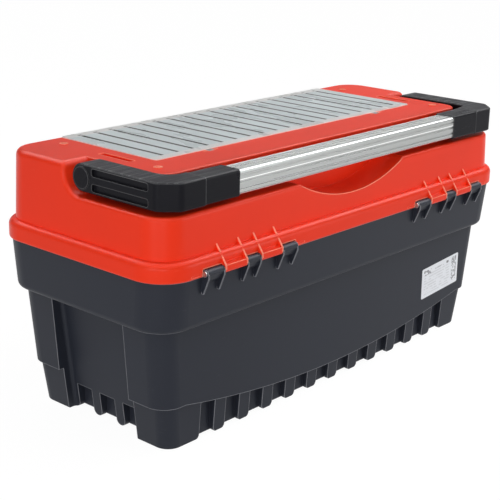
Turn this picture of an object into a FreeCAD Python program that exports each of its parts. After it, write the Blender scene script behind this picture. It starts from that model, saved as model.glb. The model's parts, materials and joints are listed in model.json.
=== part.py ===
"""Cantilever tool box: a ribbed tub, a hinged lid with a folding handle and a covered
organizer, and two trays on swinging arms that the lid lifts.

Millimetres. The origin is the centre of the footprint on the floor, +Z is up, +Y is the hinge
side and -Y the latch side. Every length is a cell of the sheet Sizes, or a place that
follows from its cells, and the features are bound to those cells.
"""

import FreeCAD, Part
import math
import os
import types

import Sketcher

SIZES = {
    # Tub: the wide band below the rim
    "rim_half_length": 350.0,
    "rim_half_width": 146.0,
    "rim_corner": 43.0,
    "band_drop": 64.0,
    "band_taper_length": 1.8,
    "band_taper_width": 6.2,
    "band_round": 8.0,
    # Tub: the smooth wall between the band and the plinth
    "wall_inset_length": 14.4,
    "wall_inset_width": 18.5,
    "wall_corner": 27.0,
    "wall_taper_length": 11.7,
    "wall_taper_width": 4.8,
    "panel_low": 28.0,
    "panel_inset": 60.0,
    # Tub: the ribbed plinth that it stands on
    "plinth_height": 57.0,
    "plinth_inset_length": 30.0,
    "plinth_inset_width": 25.6,
    "plinth_corner": 20.0,
    "plinth_taper_length": 8.0,
    "plinth_taper_width": 4.4,
    "plinth_round": 2.0,
    "flute_end_gap": 72.5,
    "flute_pitch": 45.0,
    "flute_width": 25.0,
    "flute_depth": 6.0,
    "toe_round": 7.0,
    "toe_gap": 1.4,
    "sole_depth": 2.5,
    # Tub: the grooves between the posts at both ends
    "recess_half_width": 63.5,
    "recess_depth": 15.0,
    "recess_round": 5.0,
    "end_flute_pitch": 42.0,
    "end_flute_width": 27.0,
    "end_flute_height": 34.0,
    "end_flute_depth": 5.0,
    # Walls
    "tub_wall": 3.5,
    "lid_wall": 3.5,
    "lid_ceiling": 5.5,
    "corner_least": 3.0,
    "overrun": 20.0,
    # Lid
    "flange_swell_length": 4.0,
    "flange_swell_width": 3.0,
    "flange_height": 24.5,
    "flange_round": 8.5,
    "flange_foot_round": 3.0,
    "lid_inset_length": 4.7,
    "lid_inset_width": 6.0,
    "lid_corner": 36.0,
    "lid_taper_length": 2.8,
    "lid_taper_width": 2.5,
    "lid_height": 333.0,
    "lid_rise": 111.0,
    "lid_round": 8.0,
    "lip_drop": 5.0,
    "lip_thick": 2.0,
    "lip_gap": 0.8,
    # Lid: the step that the folded handle lies in
    "step_gap": 6.25,
    "step_side_gap": 3.0,
    "step_back_gap": 12.5,
    "step_corner": 22.0,
    "step_front": 27.0,
    "step_round": 27.0,
    "step_edge_round": 5.0,
    "crown_round": 2.0,
    "scoop_radius": 230.0,
    "scoop_depth": 28.0,
    "boss_radius": 5.5,
    "boss_rise": 1.2,
    "screw_radius": 3.4,
    "screw_sink": 1.0,
    "boss_inset": 23.0,
    "boss_front": 100.0,
    "boss_back_inset": 31.0,
    "slot_length": 56.0,
    "slot_width": 10.0,
    "slot_depth": 3.0,
    "slot_middle": 4.0,
    # Hinges
    "hinge_inset": 141.0,
    "hinge_reach": 4.5,
    "hinge_rise": 4.0,
    "hinge_pin_radius": 2.0,
    "barrel_radius": 5.0,
    "knuckle_middle_half": 12.0,
    "knuckle_lid_end": 50.5,
    "knuckle_tub_end": 79.0,
    "knuckle_gap": 0.5,
    "gusset_thick": 2.0,
    "gusset_rise": 30.0,
    "gusset_drop": 25.0,
    "gusset_reach": 5.5,
    "notch_gap": 0.8,
    "pin_head_radius": 3.6,
    "pin_head_thick": 1.6,
    # Handle
    "pivot_drop": 14.0,
    "arm_inset": 12.0,
    "arm_wide": 32.0,
    "arm_tall": 33.5,
    "arm_nose_flat": 0.55,
    "arm_chamfer_long": 21.0,
    "arm_chamfer_wide": 20.0,
    "arm_back_inset": 3.0,
    "arm_leg": 33.0,
    "arm_round": 12.0,
    "arm_inner_round": 20.0,
    "arm_edge": 1.5,
    "arm_end_reach": 26.0,
    "channel_front": 17.0,
    "channel_back": 110.0,
    "channel_depth": 4.0,
    "channel_wide": 9.0,
    "channel_rib": 9.0,
    "socket_length": 57.0,
    "socket_swell": 0.8,
    "socket_round": 3.0,
    "socket_grip": 24.0,
    "grip_inset_tall": 4.5,
    "grip_inset_deep": 3.6,
    "grip_round": 3.0,
    "grip_wall": 2.4,
    "grip_groove_wide": 2.2,
    "grip_groove_deep": 1.4,
    "pivot_pin_radius": 6.0,
    "pivot_head_radius": 12.9,
    "pivot_head_thick": 3.0,
    "pivot_head_sink": 2.0,
    "pivot_nut_radius": 8.0,
    "pivot_nut_thick": 3.0,
    # Organizer
    "cover_end_gap": 45.4,
    "cover_front_gap": 8.0,
    "cover_back": 40.0,
    "cover_thick": 2.4,
    "cover_rise": 1.0,
    "cover_corner": 4.0,
    "cover_gap": 0.5,
    "cover_groove_end": 22.25,
    "cover_groove_pitch": 26.15,
    "cover_groove_wide": 1.6,
    "cover_groove_deep": 0.9,
    "cover_groove_front": 116.0,
    "cover_groove_back": 27.0,
    "bin_rim": 6.0,
    "bin_flange": 1.4,
    "bin_depth": 40.0,
    "bin_wall": 1.6,
    "bin_gap": 0.6,
    "cover_pin_radius": 1.2,
    "cover_knuckle_radius": 2.4,
    "cover_knuckle_half": 5.0,
    "cover_knuckle_inset": 87.6,
    "cover_pin_grip": 8.0,
    "cover_hinge_reach": 5.0,
    # Tray mechanism
    "arm_reach": 140.0,
    "arm_thick": 2.5,
    "arm_half_width": 6.5,
    "arm_plane_gap": 14.0,
    "arm_clear": 0.5,
    "rivet_radius": 2.5,
    "rivet_head_radius": 5.0,
    "rivet_head_thick": 1.5,
    "long_pivot_back": 60.0,
    "long_pivot_drop": 32.0,
    "short_pivot_back": 20.0,
    "short_pivot_drop": 40.0,
    "tray_front_gap": 12.5,
    "tray_back": 44.0,
    "tray_end_gap": 1.0,
    "lower_tray_inset": 3.5,
    "tray_deep": 58.0,
    "lower_tray_drop": 50.0,
    "tray_stack_gap": 10.0,
    "tray_wall": 2.4,
    "tray_corner": 12.0,
    "lug_radius": 9.0,
    "bracket_thick": 3.0,
    "bracket_margin": 18.0,
    "bracket_edge": 12.0,
    "bracket_inset": 7.0,
    "lift_plate_front": 18.0,
    "lift_plate_back": 38.0,
    "lift_flange": 30.0,
    "seat_gap": 0.3,
    "running_gap": 0.05,
    # Latches
    "latch_inset": 141.0,
    "latch_reach": 4.5,
    "latch_rise": 18.0,
    "latch_half_width": 26.0,
    "latch_barrel": 5.5,
    "latch_pin_radius": 2.0,
    "latch_plate": 4.0,
    "latch_drop": 62.0,
    "latch_hook_drop": 28.0,
    "latch_hook_tall": 5.0,
    "latch_ear": 5.0,
    "catch_half_width": 22.0,
    "catch_tall": 8.0,
    "catch_reach": 4.5,
}

TRAY_CELL_COUNT = 5
BIN_COLUMN_COUNT = 6

DOC = FreeCAD.newDocument("CantileverToolBox")
SHEET = DOC.addObject("Spreadsheet::Sheet", "Sizes")


class Size:
    """A length in millimetres, with the expression that binds it to the sheet."""

    def __init__(self, value, text):
        self.value = value
        self.text = text

    def __add__(self, other):
        other = as_size(other)
        return Size(self.value + other.value, f"({self.text} + {other.text})")

    def __sub__(self, other):
        other = as_size(other)
        return Size(self.value - other.value, f"({self.text} - {other.text})")

    def __mul__(self, share):
        share = as_size(share)
        return Size(self.value * share.value, f"({self.text} * {share.text})")

    def __truediv__(self, share):
        share = as_size(share)
        return Size(self.value / share.value, f"({self.text} / {share.text})")

    def __neg__(self):
        return Size(-self.value, f"(-{self.text})")

    __rmul__ = __mul__


def as_size(item):
    return item if isinstance(item, Size) else Size(float(item), repr(float(item)))


def fill_sheet():
    """Writes every size to a cell of its own, and gives the sizes back by name."""
    names = types.SimpleNamespace()
    for row, (name, value) in enumerate(SIZES.items(), start=1):
        SHEET.set(f"A{row}", name)
        SHEET.set(f"B{row}", str(value))
        SHEET.setAlias(f"B{row}", name)
        setattr(names, name, Size(value, f"Sizes.{name}"))
    DOC.recompute()
    return names


def tie_places(s):
    """Adds the places that follow from the sheet's sizes: each set in from what carries it."""
    s.rim_height = s.lid_height - s.lid_rise
    s.wall_half_length = s.rim_half_length - s.wall_inset_length
    s.wall_half_width = s.rim_half_width - s.wall_inset_width
    s.plinth_half_length = s.rim_half_length - s.plinth_inset_length
    s.plinth_half_width = s.rim_half_width - s.plinth_inset_width
    s.panel_half_span = s.rim_half_length - s.panel_inset
    s.lid_half_length = s.rim_half_length - s.lid_inset_length
    s.lid_half_width = s.rim_half_width - s.lid_inset_width
    s.hinge_column = s.rim_half_length - s.hinge_inset
    s.hinge_back = s.rim_half_width + s.hinge_reach
    s.hinge_height = s.rim_height + s.hinge_rise
    s.latch_column = s.rim_half_length - s.latch_inset
    s.latch_front = s.rim_half_width + s.latch_reach
    s.latch_height = s.rim_height + s.latch_rise
    s.latch_hook_height = s.rim_height - s.latch_hook_drop
    s.pivot_height = s.lid_height - s.pivot_drop
    s.arm_nose = s.arm_tall / 2
    s.arm_nose_round = s.arm_nose - s.arm_nose_flat
    s.arm_outer = s.rim_half_length - s.arm_inset
    s.arm_inner = s.arm_outer - s.arm_wide
    s.arm_back = s.rim_half_width - s.arm_back_inset
    s.arm_end = s.arm_inner - s.arm_end_reach
    s.socket_end = s.arm_end - s.socket_length
    s.grip_tall = s.arm_tall - s.grip_inset_tall
    s.grip_deep = s.arm_leg - s.grip_inset_deep
    s.step_height = s.pivot_height - s.arm_nose - s.step_gap
    s.step_half_length = s.arm_inner - s.step_side_gap
    s.step_back = s.arm_back - s.arm_leg - s.step_back_gap
    s.boss_column = s.step_half_length - s.boss_inset
    s.boss_back = s.step_back - s.boss_back_inset
    s.cover_half_length = s.step_half_length - s.cover_end_gap
    s.cover_front = s.lid_half_width - s.cover_front_gap
    s.cover_knuckle_column = s.cover_half_length - s.cover_knuckle_inset
    s.cover_hinge_back = s.cover_back + s.cover_hinge_reach
    s.arm_plane = s.step_half_length - s.arm_plane_gap
    s.long_pivot_height = s.rim_height - s.long_pivot_drop
    s.short_pivot_height = s.long_pivot_height - s.short_pivot_drop
    s.tray_front = s.wall_half_width - s.tray_front_gap
    s.lower_tray_bottom = s.long_pivot_height - s.lower_tray_drop
    s.upper_tray_bottom = s.lower_tray_bottom + s.tray_deep + s.tray_stack_gap
    s.bracket_front = s.short_pivot_back - s.bracket_margin
    s.bracket_back = s.long_pivot_back + s.bracket_margin
    s.bracket_low = s.short_pivot_height - s.bracket_edge
    s.bracket_high = s.long_pivot_height + s.bracket_edge
    s.bracket_reach = s.rim_half_length - s.bracket_inset
    return s


NEARLY = 0.01


def copies(room, pitch):
    """How many copies at a pitch fit in a room, one at each end of it."""
    return math.floor(room.value / pitch.value + NEARLY) + 1


s = tie_places(fill_sheet())
ZERO = Size(0.0, "0")


def new_body(name):
    return DOC.addObject("PartDesign::Body", name)


def sketch_on(body, role, level):
    """A sketch on one of the body's own origin planes, moved along its normal to a level."""
    sketch = body.newObject("Sketcher::SketchObject", body.Name + "_sketch")
    plane = next(p for p in body.Origin.OriginFeatures if p.Role == role)
    sketch.AttachmentSupport = [(plane, "")]
    sketch.MapMode = "FlatFace"
    sketch.setExpression("AttachmentOffset.Base.z", level.text)
    return sketch


class Ties:
    """The constraints of one sketch, gathered and added together, each size bound."""

    def __init__(self, sketch):
        self.sketch = sketch
        self.constraints = []
        self.sizes = []

    def add(self, kind, *where):
        self.constraints.append(Sketcher.Constraint(kind, *where))

    def size(self, kind, size, *where):
        self.sizes.append((len(self.constraints), size))
        self.add(kind, *where, size.value)

    def point(self, geometry, position, across, up):
        """Ties a point to its place, on an axis where a coordinate is zero."""
        for kind, axis, size in (("DistanceX", -2, across), ("DistanceY", -1, up)):
            if size.value == 0.0:
                self.add("PointOnObject", geometry, position, axis)
            else:
                self.size(kind, size, -1, 1, geometry, position)

    def finish(self):
        first = self.sketch.ConstraintCount
        self.sketch.addConstraint(self.constraints)
        for index, size in self.sizes:
            self.sketch.setExpression(f"Constraints[{first + index}]", size.text)


def corner_arc(before, here, after, radius):
    """Where a round of the given radius leaves its two sides, its centre, and if it turns left."""
    back = (before - here).normalize()
    ahead = (after - here).normalize()
    half = math.acos(max(-1.0, min(1.0, back.dot(ahead)))) / 2
    reach = radius / math.tan(half)
    middle = (back + ahead).normalize() * (radius / math.sin(half))
    left = back.cross(ahead).z < 0
    return here + back * reach, here + ahead * reach, here + middle, left


def outline(sketch, corners):
    """A closed ring through corners (across, up) or (across, up, round), rounds tangent."""
    corners = [tuple(as_size(v) for v in corner) for corner in corners]
    spots = [FreeCAD.Vector(c[0].value, c[1].value, 0) for c in corners]
    count = len(corners)
    entries, exits, arcs = [], [], {}
    for i, corner in enumerate(corners):
        if len(corner) == 2:
            entries.append(spots[i])
            exits.append(spots[i])
            continue
        start, end, centre, left = corner_arc(
            spots[i - 1], spots[i], spots[(i + 1) % count], corner[2].value
        )
        entries.append(start)
        exits.append(end)
        arcs[i] = (centre, left)
    sides = []
    for i in range(count):
        line = Part.LineSegment(exits[i], entries[(i + 1) % count])
        sides.append(sketch.addGeometry(line, False))
    ties = Ties(sketch)
    for i, corner in enumerate(corners):
        side_in, side_out = sides[i - 1], sides[i]
        if i not in arcs:
            ties.add("Coincident", side_in, 2, side_out, 1)
            ties.point(side_out, 1, corner[0], corner[1])
            continue
        centre, left = arcs[i]
        ends = [entries[i] - centre, exits[i] - centre]
        if not left:
            ends.reverse()
        angles = [math.atan2(end.y, end.x) for end in ends]
        circle = Part.Circle(centre, FreeCAD.Vector(0, 0, 1), corner[2].value)
        arc = sketch.addGeometry(Part.ArcOfCircle(circle, *angles), False)
        first, last = (1, 2) if left else (2, 1)
        point = sketch.addGeometry(Part.Point(spots[i]), True)
        ties.add("Tangent", side_in, 2, arc, first)
        ties.add("Tangent", arc, last, side_out, 1)
        ties.add("PointOnObject", point, 1, side_in)
        ties.add("PointOnObject", point, 1, side_out)
        ties.size("Radius", corner[2], arc)
        ties.point(point, 1, corner[0], corner[1])
    ties.finish()


def circle_in(sketch, across, up, radius):
    """A full circle at a bound place and radius."""
    middle = FreeCAD.Vector(across.value, up.value, 0)
    ring = sketch.addGeometry(
        Part.Circle(middle, FreeCAD.Vector(0, 0, 1), radius.value), False
    )
    ties = Ties(sketch)
    ties.size("Radius", radius, ring)
    ties.point(ring, 3, across, up)
    ties.finish()


def box_corners(left, right, low, high, *rounds):
    """The four corners of a rectangle, all rounded where a round is given."""
    return [
        (left, low, *rounds),
        (right, low, *rounds),
        (right, high, *rounds),
        (left, high, *rounds),
    ]


def centred(half_length, half_width, corner):
    return box_corners(-half_length, half_length, -half_width, half_width, corner)


def pad_on(body, sketch, length, middle=False):
    pad = body.newObject("PartDesign::Pad", body.Name + "_pad")
    pad.Profile = sketch
    pad.setExpression("Length", length.text)
    pad.Midplane = middle
    return pad


def prism(name, role, level, length, corners, middle=False):
    """A straight solid: one outline on a plane at a level, padded by a length."""
    body = new_body(name)
    sketch = sketch_on(body, role, level)
    outline(sketch, corners)
    pad_on(body, sketch, length, middle)
    return body


def upright(name, low, high, corners):
    return prism(name, "XY_Plane", low, high - low, corners)


def across_x(name, start, length, corners):
    """A solid whose outline (y, z) runs along X from start."""
    return prism(name, "YZ_Plane", start, length, corners)


def across_y(name, start, length, corners):
    """A solid whose outline (x, z) runs along Y from start."""
    return prism(name, "XZ_Plane", -(start + length), length, corners)


def block(name, low, high, foot, top, corner):
    """A drafted block: half length and half width at its foot and at its top, corners round."""
    body = new_body(name)
    wedge = body.newObject("PartDesign::AdditiveWedge", name + "_wedge")
    plane = next(p for p in body.Origin.OriginFeatures if p.Role == "XZ_Plane")
    wedge.AttachmentSupport = [(plane, "")]
    wedge.MapMode = "FlatFace"
    for limit, size in (
        ("Xmin", -foot[0]),
        ("Xmax", foot[0]),
        ("Zmin", -foot[1]),
        ("Zmax", foot[1]),
        ("X2min", -top[0]),
        ("X2max", top[0]),
        ("Z2min", -top[1]),
        ("Z2max", top[1]),
        ("Ymin", low),
        ("Ymax", high),
    ):
        setattr(wedge, limit, size.value)
        wedge.setExpression(limit, size.text)
    rise = (high - low).value
    return ease_body(body, corner, lambda e: e.BoundBox.ZLength > rise / 2)


def rises(edge):
    """Whether an edge climbs without going sideways along Y."""
    return edge.BoundBox.YLength < NEARLY < edge.BoundBox.ZLength


def lies_at(edge, axis, level):
    low, high = {
        "x": (edge.BoundBox.XMin, edge.BoundBox.XMax),
        "y": (edge.BoundBox.YMin, edge.BoundBox.YMax),
        "z": (edge.BoundBox.ZMin, edge.BoundBox.ZMax),
    }[axis]
    return abs(low - level.value) < NEARLY and abs(high - level.value) < NEARLY


def ease_body(body, size, chosen, kind="Fillet"):
    """Rounds, or chamfers, those edges of a body that chosen picks."""
    DOC.recompute()
    names = [
        f"Edge{i}" for i, edge in enumerate(body.Shape.Edges, start=1) if chosen(edge)
    ]
    last = body.Tip
    made = body.newObject("PartDesign::" + kind, f"{body.Name}_{kind.lower()}")
    made.Base = (last, names)
    made.setExpression("Radius" if kind == "Fillet" else "Size", size.text)
    body.Tip = made
    return body


def body_from(name, base):
    """A body that goes on from a solid made before it."""
    body = new_body(name)
    body.BaseFeature = base
    return body


def fuse(name, pieces):
    made = DOC.addObject("Part::MultiFuse", name)
    made.Shapes = pieces
    made.Refine = True
    return made


def cut(name, base, tool, refine=True):
    made = DOC.addObject("Part::Cut", name)
    made.Base = base
    made.Tool = tool
    made.Refine = refine
    return made


def rod_x(name, radius, start, length, across, up):
    """A round rod along X."""
    rod = DOC.addObject("Part::Cylinder", name)
    rod.Placement = FreeCAD.Placement(
        FreeCAD.Vector(start.value, across.value, up.value),
        FreeCAD.Rotation(FreeCAD.Vector(0, 1, 0), 90),
    )
    rod.setExpression("Radius", radius.text)
    rod.setExpression("Height", length.text)
    rod.setExpression("Placement.Base.x", start.text)
    rod.setExpression("Placement.Base.y", across.text)
    rod.setExpression("Placement.Base.z", up.text)
    return rod


def rod_z(name, radius, low, length, across, up):
    """A round rod that stands at (across, up) from a height."""
    rod = DOC.addObject("Part::Cylinder", name)
    rod.setExpression("Radius", radius.text)
    rod.setExpression("Height", length.text)
    rod.setExpression("Placement.Base.x", across.text)
    rod.setExpression("Placement.Base.y", up.text)
    rod.setExpression("Placement.Base.z", low.text)
    return rod


def span(side, near, far):
    """Start and length, along X, of what lies from near to far on the given side."""
    return (near, far - near) if side > 0 else (-far, far - near)


WEB_RISE_SHARE = 1.6
LUG_FOOT_SHARE = 1.6
LUG_ROUND_SHARE = 0.9
STRAP_ROUND_SHARE = 0.98

NODES = []


def node(item, name):
    """Gives a finished solid its own name and keeps it for the export."""
    item.Label = name
    NODES.append(item)
    return item


SIDES = (("left", -1), ("right", 1))


# Tub

band_bottom = s.rim_height - s.band_drop
flute_count = copies((s.plinth_half_length - s.flute_end_gap) * 2, s.flute_pitch)
flute_span = s.flute_pitch * (flute_count - 1)


def band_form():
    foot_length = s.rim_half_length - s.band_taper_length
    foot_width = s.rim_half_width - s.band_taper_width
    body = block(
        "band_form",
        band_bottom,
        s.rim_height,
        (foot_length, foot_width),
        (s.rim_half_length, s.rim_half_width),
        s.rim_corner,
    )
    return ease_body(body, s.band_round, lambda e: lies_at(e, "z", band_bottom))


def wall_form():
    """The smooth wall, its long panels ending in a sagging arc over the ribs."""
    body = block(
        "wall_form",
        s.panel_low,
        band_bottom,
        (s.wall_half_length - s.wall_taper_length, s.wall_half_width - s.wall_taper_width),
        (s.wall_half_length, s.wall_half_width),
        s.wall_corner,
    )
    sketch = sketch_on(body, "XZ_Plane", ZERO)
    far = s.rim_half_length
    rise = s.plinth_height - s.panel_low
    radius = (s.panel_half_span * s.panel_half_span + rise * rise) / rise / 2
    centre_height = s.panel_low + radius
    spread = math.asin(s.panel_half_span.value / radius.value)
    arc = sketch.addGeometry(
        Part.ArcOfCircle(
            Part.Circle(
                FreeCAD.Vector(0, centre_height.value, 0),
                FreeCAD.Vector(0, 0, 1),
                radius.value,
            ),
            -math.pi / 2 - spread,
            -math.pi / 2 + spread,
        ),
        False,
    )
    spots = [
        (s.panel_half_span, s.plinth_height),
        (far, s.plinth_height),
        (far, ZERO),
        (-far, ZERO),
        (-far, s.plinth_height),
        (-s.panel_half_span, s.plinth_height),
    ]
    points = [FreeCAD.Vector(a.value, b.value, 0) for a, b in spots]
    lines = [
        sketch.addGeometry(Part.LineSegment(points[i], points[i + 1]), False)
        for i in range(len(points) - 1)
    ]
    ties = Ties(sketch)
    ties.add("Coincident", arc, 2, lines[0], 1)
    ties.add("Coincident", lines[-1], 2, arc, 1)
    for before, after in zip(lines, lines[1:]):
        ties.add("Coincident", before, 2, after, 1)
    for line, (across, up) in zip(lines, spots):
        ties.point(line, 1, across, up)
    ties.point(lines[-1], 2, *spots[-1])
    ties.size("Radius", radius, arc)
    ties.finish()
    pocket = body.newObject("PartDesign::Pocket", "panel_arc")
    pocket.Profile = sketch
    pocket.Midplane = True
    pocket.setExpression("Length", (s.rim_half_width * 2).text)
    body.Tip = pocket
    return body


def between_toes(middle, width, high):
    """The outline of a gap between two feet, whose lower corners are round."""
    left = middle - width / 2
    right = middle + width / 2
    reach = s.toe_round + s.toe_gap / 2
    return [
        (left - reach, -s.overrun),
        (left - reach, ZERO),
        (left, ZERO, s.toe_round),
        (left, high),
        (right, high),
        (right, ZERO, s.toe_round),
        (right + reach, ZERO),
        (right + reach, -s.overrun),
    ]


def plinth_form():
    """The plinth: a tapered ring of feet, fluted on the long sides."""
    foot = s.plinth_half_width - s.plinth_taper_width
    body = block(
        "plinth_form",
        ZERO,
        s.plinth_height + s.tub_wall,
        (s.plinth_half_length - s.plinth_taper_length, foot),
        (s.plinth_half_length, s.plinth_half_width),
        s.plinth_corner,
    )
    ease_body(body, s.plinth_round, lambda e: lies_at(e, "z", ZERO))
    for side in (-1, 1):
        sketch = sketch_on(body, "XZ_Plane", (foot - s.flute_depth) * -side)
        outline(
            sketch,
            between_toes(-flute_span / 2, s.flute_width, s.plinth_height + s.overrun),
        )
        pocket = body.newObject("PartDesign::Pocket", "flute")
        pocket.Profile = sketch
        pocket.Reversed = side < 0
        pocket.setExpression("Length", (s.flute_depth + s.overrun).text)
        pattern = body.newObject("PartDesign::LinearPattern", "flutes")
        pattern.Originals = [pocket]
        pattern.Direction = (sketch, ["H_Axis"])
        pattern.Mode = "Extent"
        pattern.setExpression("Length", flute_span.text)
        pattern.Occurrences = flute_count
        body.Tip = pattern
    return body


def recess_line(inset):
    """Distance from the middle of a recess's back wall, at the floor and under the band."""
    foot = s.plinth_half_length - s.plinth_taper_length - s.recess_depth - inset
    top = s.wall_half_length - s.recess_depth - inset
    return foot, top


def end_form(name, side, half_width, inset, low, high, far, *rounds):
    """What a groove between two end posts takes away, on either end."""
    foot, top = recess_line(inset)
    body = new_body(name)
    sketch = sketch_on(body, "XZ_Plane", ZERO)
    corners = [
        (foot * side, low),
        (far * side, low),
        (far * side, high),
        (top * side, high),
    ]
    outline(sketch, corners if side > 0 else corners[::-1])
    pad_on(body, sketch, half_width * 2, True)
    if rounds:
        ease_body(body, rounds[0], lambda e: rises(e) and abs(e.BoundBox.XMin) < far.value)
    return body


def end_flutes(side, label):
    """The short gaps between the small feet at one end."""
    foot, _ = recess_line(ZERO)
    start, length = span(side, foot - s.end_flute_depth, s.plinth_half_length)
    return [
        across_x(
            f"end_flute_{label}_{n}",
            start,
            length,
            between_toes(s.end_flute_pitch * place, s.end_flute_width, s.end_flute_height),
        )
        for n, place in enumerate((-1, 0, 1))
    ]


def tub_inside():
    """The hollow of the tub in three steps, each one wall in from what surrounds it."""
    wall = s.tub_wall
    low_length = s.plinth_half_length - s.plinth_taper_length - wall
    low_width = s.plinth_half_width - s.plinth_taper_width - s.flute_depth - wall
    step = s.plinth_height + wall
    ledge = band_bottom + wall
    floor = s.sole_depth + wall
    low = block(
        "inside_low",
        floor,
        step,
        (low_length, low_width),
        (low_length, low_width),
        s.wall_corner - wall,
    )
    middle = block(
        "inside_middle",
        step,
        ledge,
        (
            s.wall_half_length - s.wall_taper_length - wall,
            s.wall_half_width - s.wall_taper_width - wall,
        ),
        (s.wall_half_length - wall, s.wall_half_width - wall),
        s.wall_corner - wall,
    )
    top = block(
        "inside_top",
        ledge,
        s.rim_height,
        (
            s.rim_half_length - s.band_taper_length - wall,
            s.rim_half_width - s.band_taper_width - wall,
        ),
        (s.rim_half_length - wall, s.rim_half_width - wall),
        s.rim_corner - wall,
    )
    hollow = fuse("inside_steps", [low, middle, top])
    far = s.rim_half_length
    foot, _ = recess_line(ZERO)
    blocks = []
    for label, side in SIDES:
        blocks.append(
            end_form(
                f"recess_block_{label}",
                side,
                s.recess_half_width + wall,
                wall,
                -s.overrun,
                ledge,
                far,
            )
        )
        start, length = span(side, foot - s.end_flute_depth - wall, far)
        half = s.end_flute_pitch + s.end_flute_width / 2 + wall
        blocks.append(
            upright(
                f"end_flute_block_{label}",
                -s.overrun,
                s.end_flute_height + wall,
                box_corners(start, start + length, -half, half),
            )
        )
    return cut("inside_form", hollow, fuse("recess_blocks", blocks))


TUB_KNUCKLES = (
    # From, to and the gap at each side where the lid makes room
    (-s.knuckle_middle_half, s.knuckle_middle_half, s.knuckle_gap),
    (
        s.knuckle_lid_end + s.knuckle_gap,
        s.knuckle_tub_end,
        s.knuckle_gap + s.pin_head_thick,
    ),
    (
        -s.knuckle_tub_end,
        -(s.knuckle_lid_end + s.knuckle_gap),
        s.knuckle_gap + s.pin_head_thick,
    ),
)


def gusset(name, start, corners):
    return across_x(name, start, s.gusset_thick, corners)


def tub_knuckles(label, side):
    """The tub's half of one hinge: three barrels, each carried by two gussets."""
    middle = s.hinge_column * side
    pieces = []
    wall_face = s.rim_half_width - s.tub_wall / 2
    for n, (low, high, _) in enumerate(TUB_KNUCKLES):
        name = f"{label}_{n}"
        pieces.append(
            rod_x(
                f"tub_barrel_{name}",
                s.barrel_radius,
                middle + low,
                high - low,
                s.hinge_back,
                s.hinge_height,
            )
        )
        pieces.append(
            across_x(
                f"tub_web_{name}",
                middle + low,
                high - low,
                [
                    (wall_face, s.rim_height - s.barrel_radius * 2),
                    (s.hinge_back, s.rim_height - s.barrel_radius),
                    (s.hinge_back + s.barrel_radius, s.hinge_height),
                    (s.hinge_back, s.hinge_height),
                    (s.hinge_back - s.barrel_radius / 2, s.rim_height),
                    (wall_face, s.rim_height),
                ],
            )
        )
        for m, place in enumerate((low, high - s.gusset_thick)):
            pieces.append(
                gusset(
                    f"tub_gusset_{name}_{m}",
                    middle + place,
                    [
                        (wall_face, s.hinge_height - s.gusset_drop),
                        (wall_face + s.tub_wall, s.hinge_height - s.gusset_drop),
                        (s.hinge_back + s.gusset_reach, s.hinge_height - s.barrel_radius),
                        (s.hinge_back + s.gusset_reach, s.hinge_height),
                        (s.hinge_back, s.hinge_height + s.barrel_radius),
                        (s.hinge_back, s.rim_height),
                        (wall_face, s.rim_height),
                    ],
                )
            )
    return pieces


def hinge_bore(name, side):
    reach = s.knuckle_tub_end + s.overrun
    return rod_x(
        name,
        s.hinge_pin_radius + s.running_gap,
        s.hinge_column * side - reach,
        reach * 2,
        s.hinge_back,
        s.hinge_height,
    )


def latch_catch(label, side):
    """The rib on the tub's front that a latch hooks under."""
    face = s.rim_half_width - s.band_taper_width - s.tub_wall / 2
    middle = s.latch_column * side
    high = s.latch_hook_height + s.latch_hook_tall + s.seat_gap
    return across_x(
        f"catch_{label}",
        middle - s.catch_half_width,
        s.catch_half_width * 2,
        [
            (-face, high),
            (-(s.rim_half_width + s.catch_reach), high),
            (-(s.rim_half_width + s.catch_reach), high + s.catch_tall / 2),
            (-face, high + s.catch_tall * 2),
        ],
    )


def make_tub():
    solid = [band_form(), wall_form(), plinth_form()]
    for label, side in SIDES:
        solid += tub_knuckles(label, side)
        solid.append(latch_catch(label, side))
    taken = [tub_inside()]
    recess_foot, _ = recess_line(ZERO)
    sole_length = recess_foot - s.end_flute_depth
    sole_width = s.plinth_half_width - s.plinth_taper_width - s.flute_depth
    taken.append(
        upright(
            "sole_form",
            -s.overrun,
            s.sole_depth,
            centred(sole_length, sole_width, s.wall_corner / 2),
        )
    )
    for label, side in SIDES:
        taken.append(hinge_bore(f"tub_bore_{label}", side))
        taken.append(
            end_form(
                f"recess_{label}",
                side,
                s.recess_half_width,
                ZERO,
                -s.overrun,
                band_bottom,
                s.rim_half_length,
                s.recess_round,
            )
        )
        taken += end_flutes(side, label)
    made = cut("base_tub_shape", fuse("tub_solid", solid), fuse("tub_taken", taken), False)
    node(made, "base_tub")


# Lid

flange_top = s.rim_height + s.flange_height
lid_wall_foot = s.rim_height + s.flange_height / 2
step_under = s.step_height - s.lid_wall
ceiling = s.lid_height - s.lid_ceiling
cover_low = s.lid_height + s.cover_rise - s.cover_thick
bin_seat = cover_low - s.bin_flange
cover_hinge_height = s.lid_height - s.cover_knuckle_radius


def lid_section(height, inset):
    """Half length and half width of the lid wall at a height, set in from its outer face."""
    share = (height - lid_wall_foot) / (s.lid_height - lid_wall_foot)
    return (
        s.lid_half_length - s.lid_taper_length * share - inset,
        s.lid_half_width - s.lid_taper_width * share - inset,
    )


def lid_outside():
    half_length = s.rim_half_length + s.flange_swell_length
    half_width = s.rim_half_width + s.flange_swell_width
    flange = upright(
        "flange_form",
        s.rim_height,
        flange_top,
        centred(half_length, half_width, s.rim_corner + s.flange_swell_width),
    )
    ease_body(flange, s.flange_round, lambda e: lies_at(e, "z", flange_top))
    ease_body(flange, s.flange_foot_round, lambda e: lies_at(e, "z", s.rim_height))
    inset = s.tub_wall + s.lip_gap
    lip = upright(
        "lip_form",
        s.rim_height - s.lip_drop,
        lid_wall_foot,
        centred(
            s.rim_half_length - inset, s.rim_half_width - inset, s.rim_corner - inset
        ),
    )
    return [flange, lid_wall(), lip]


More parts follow.
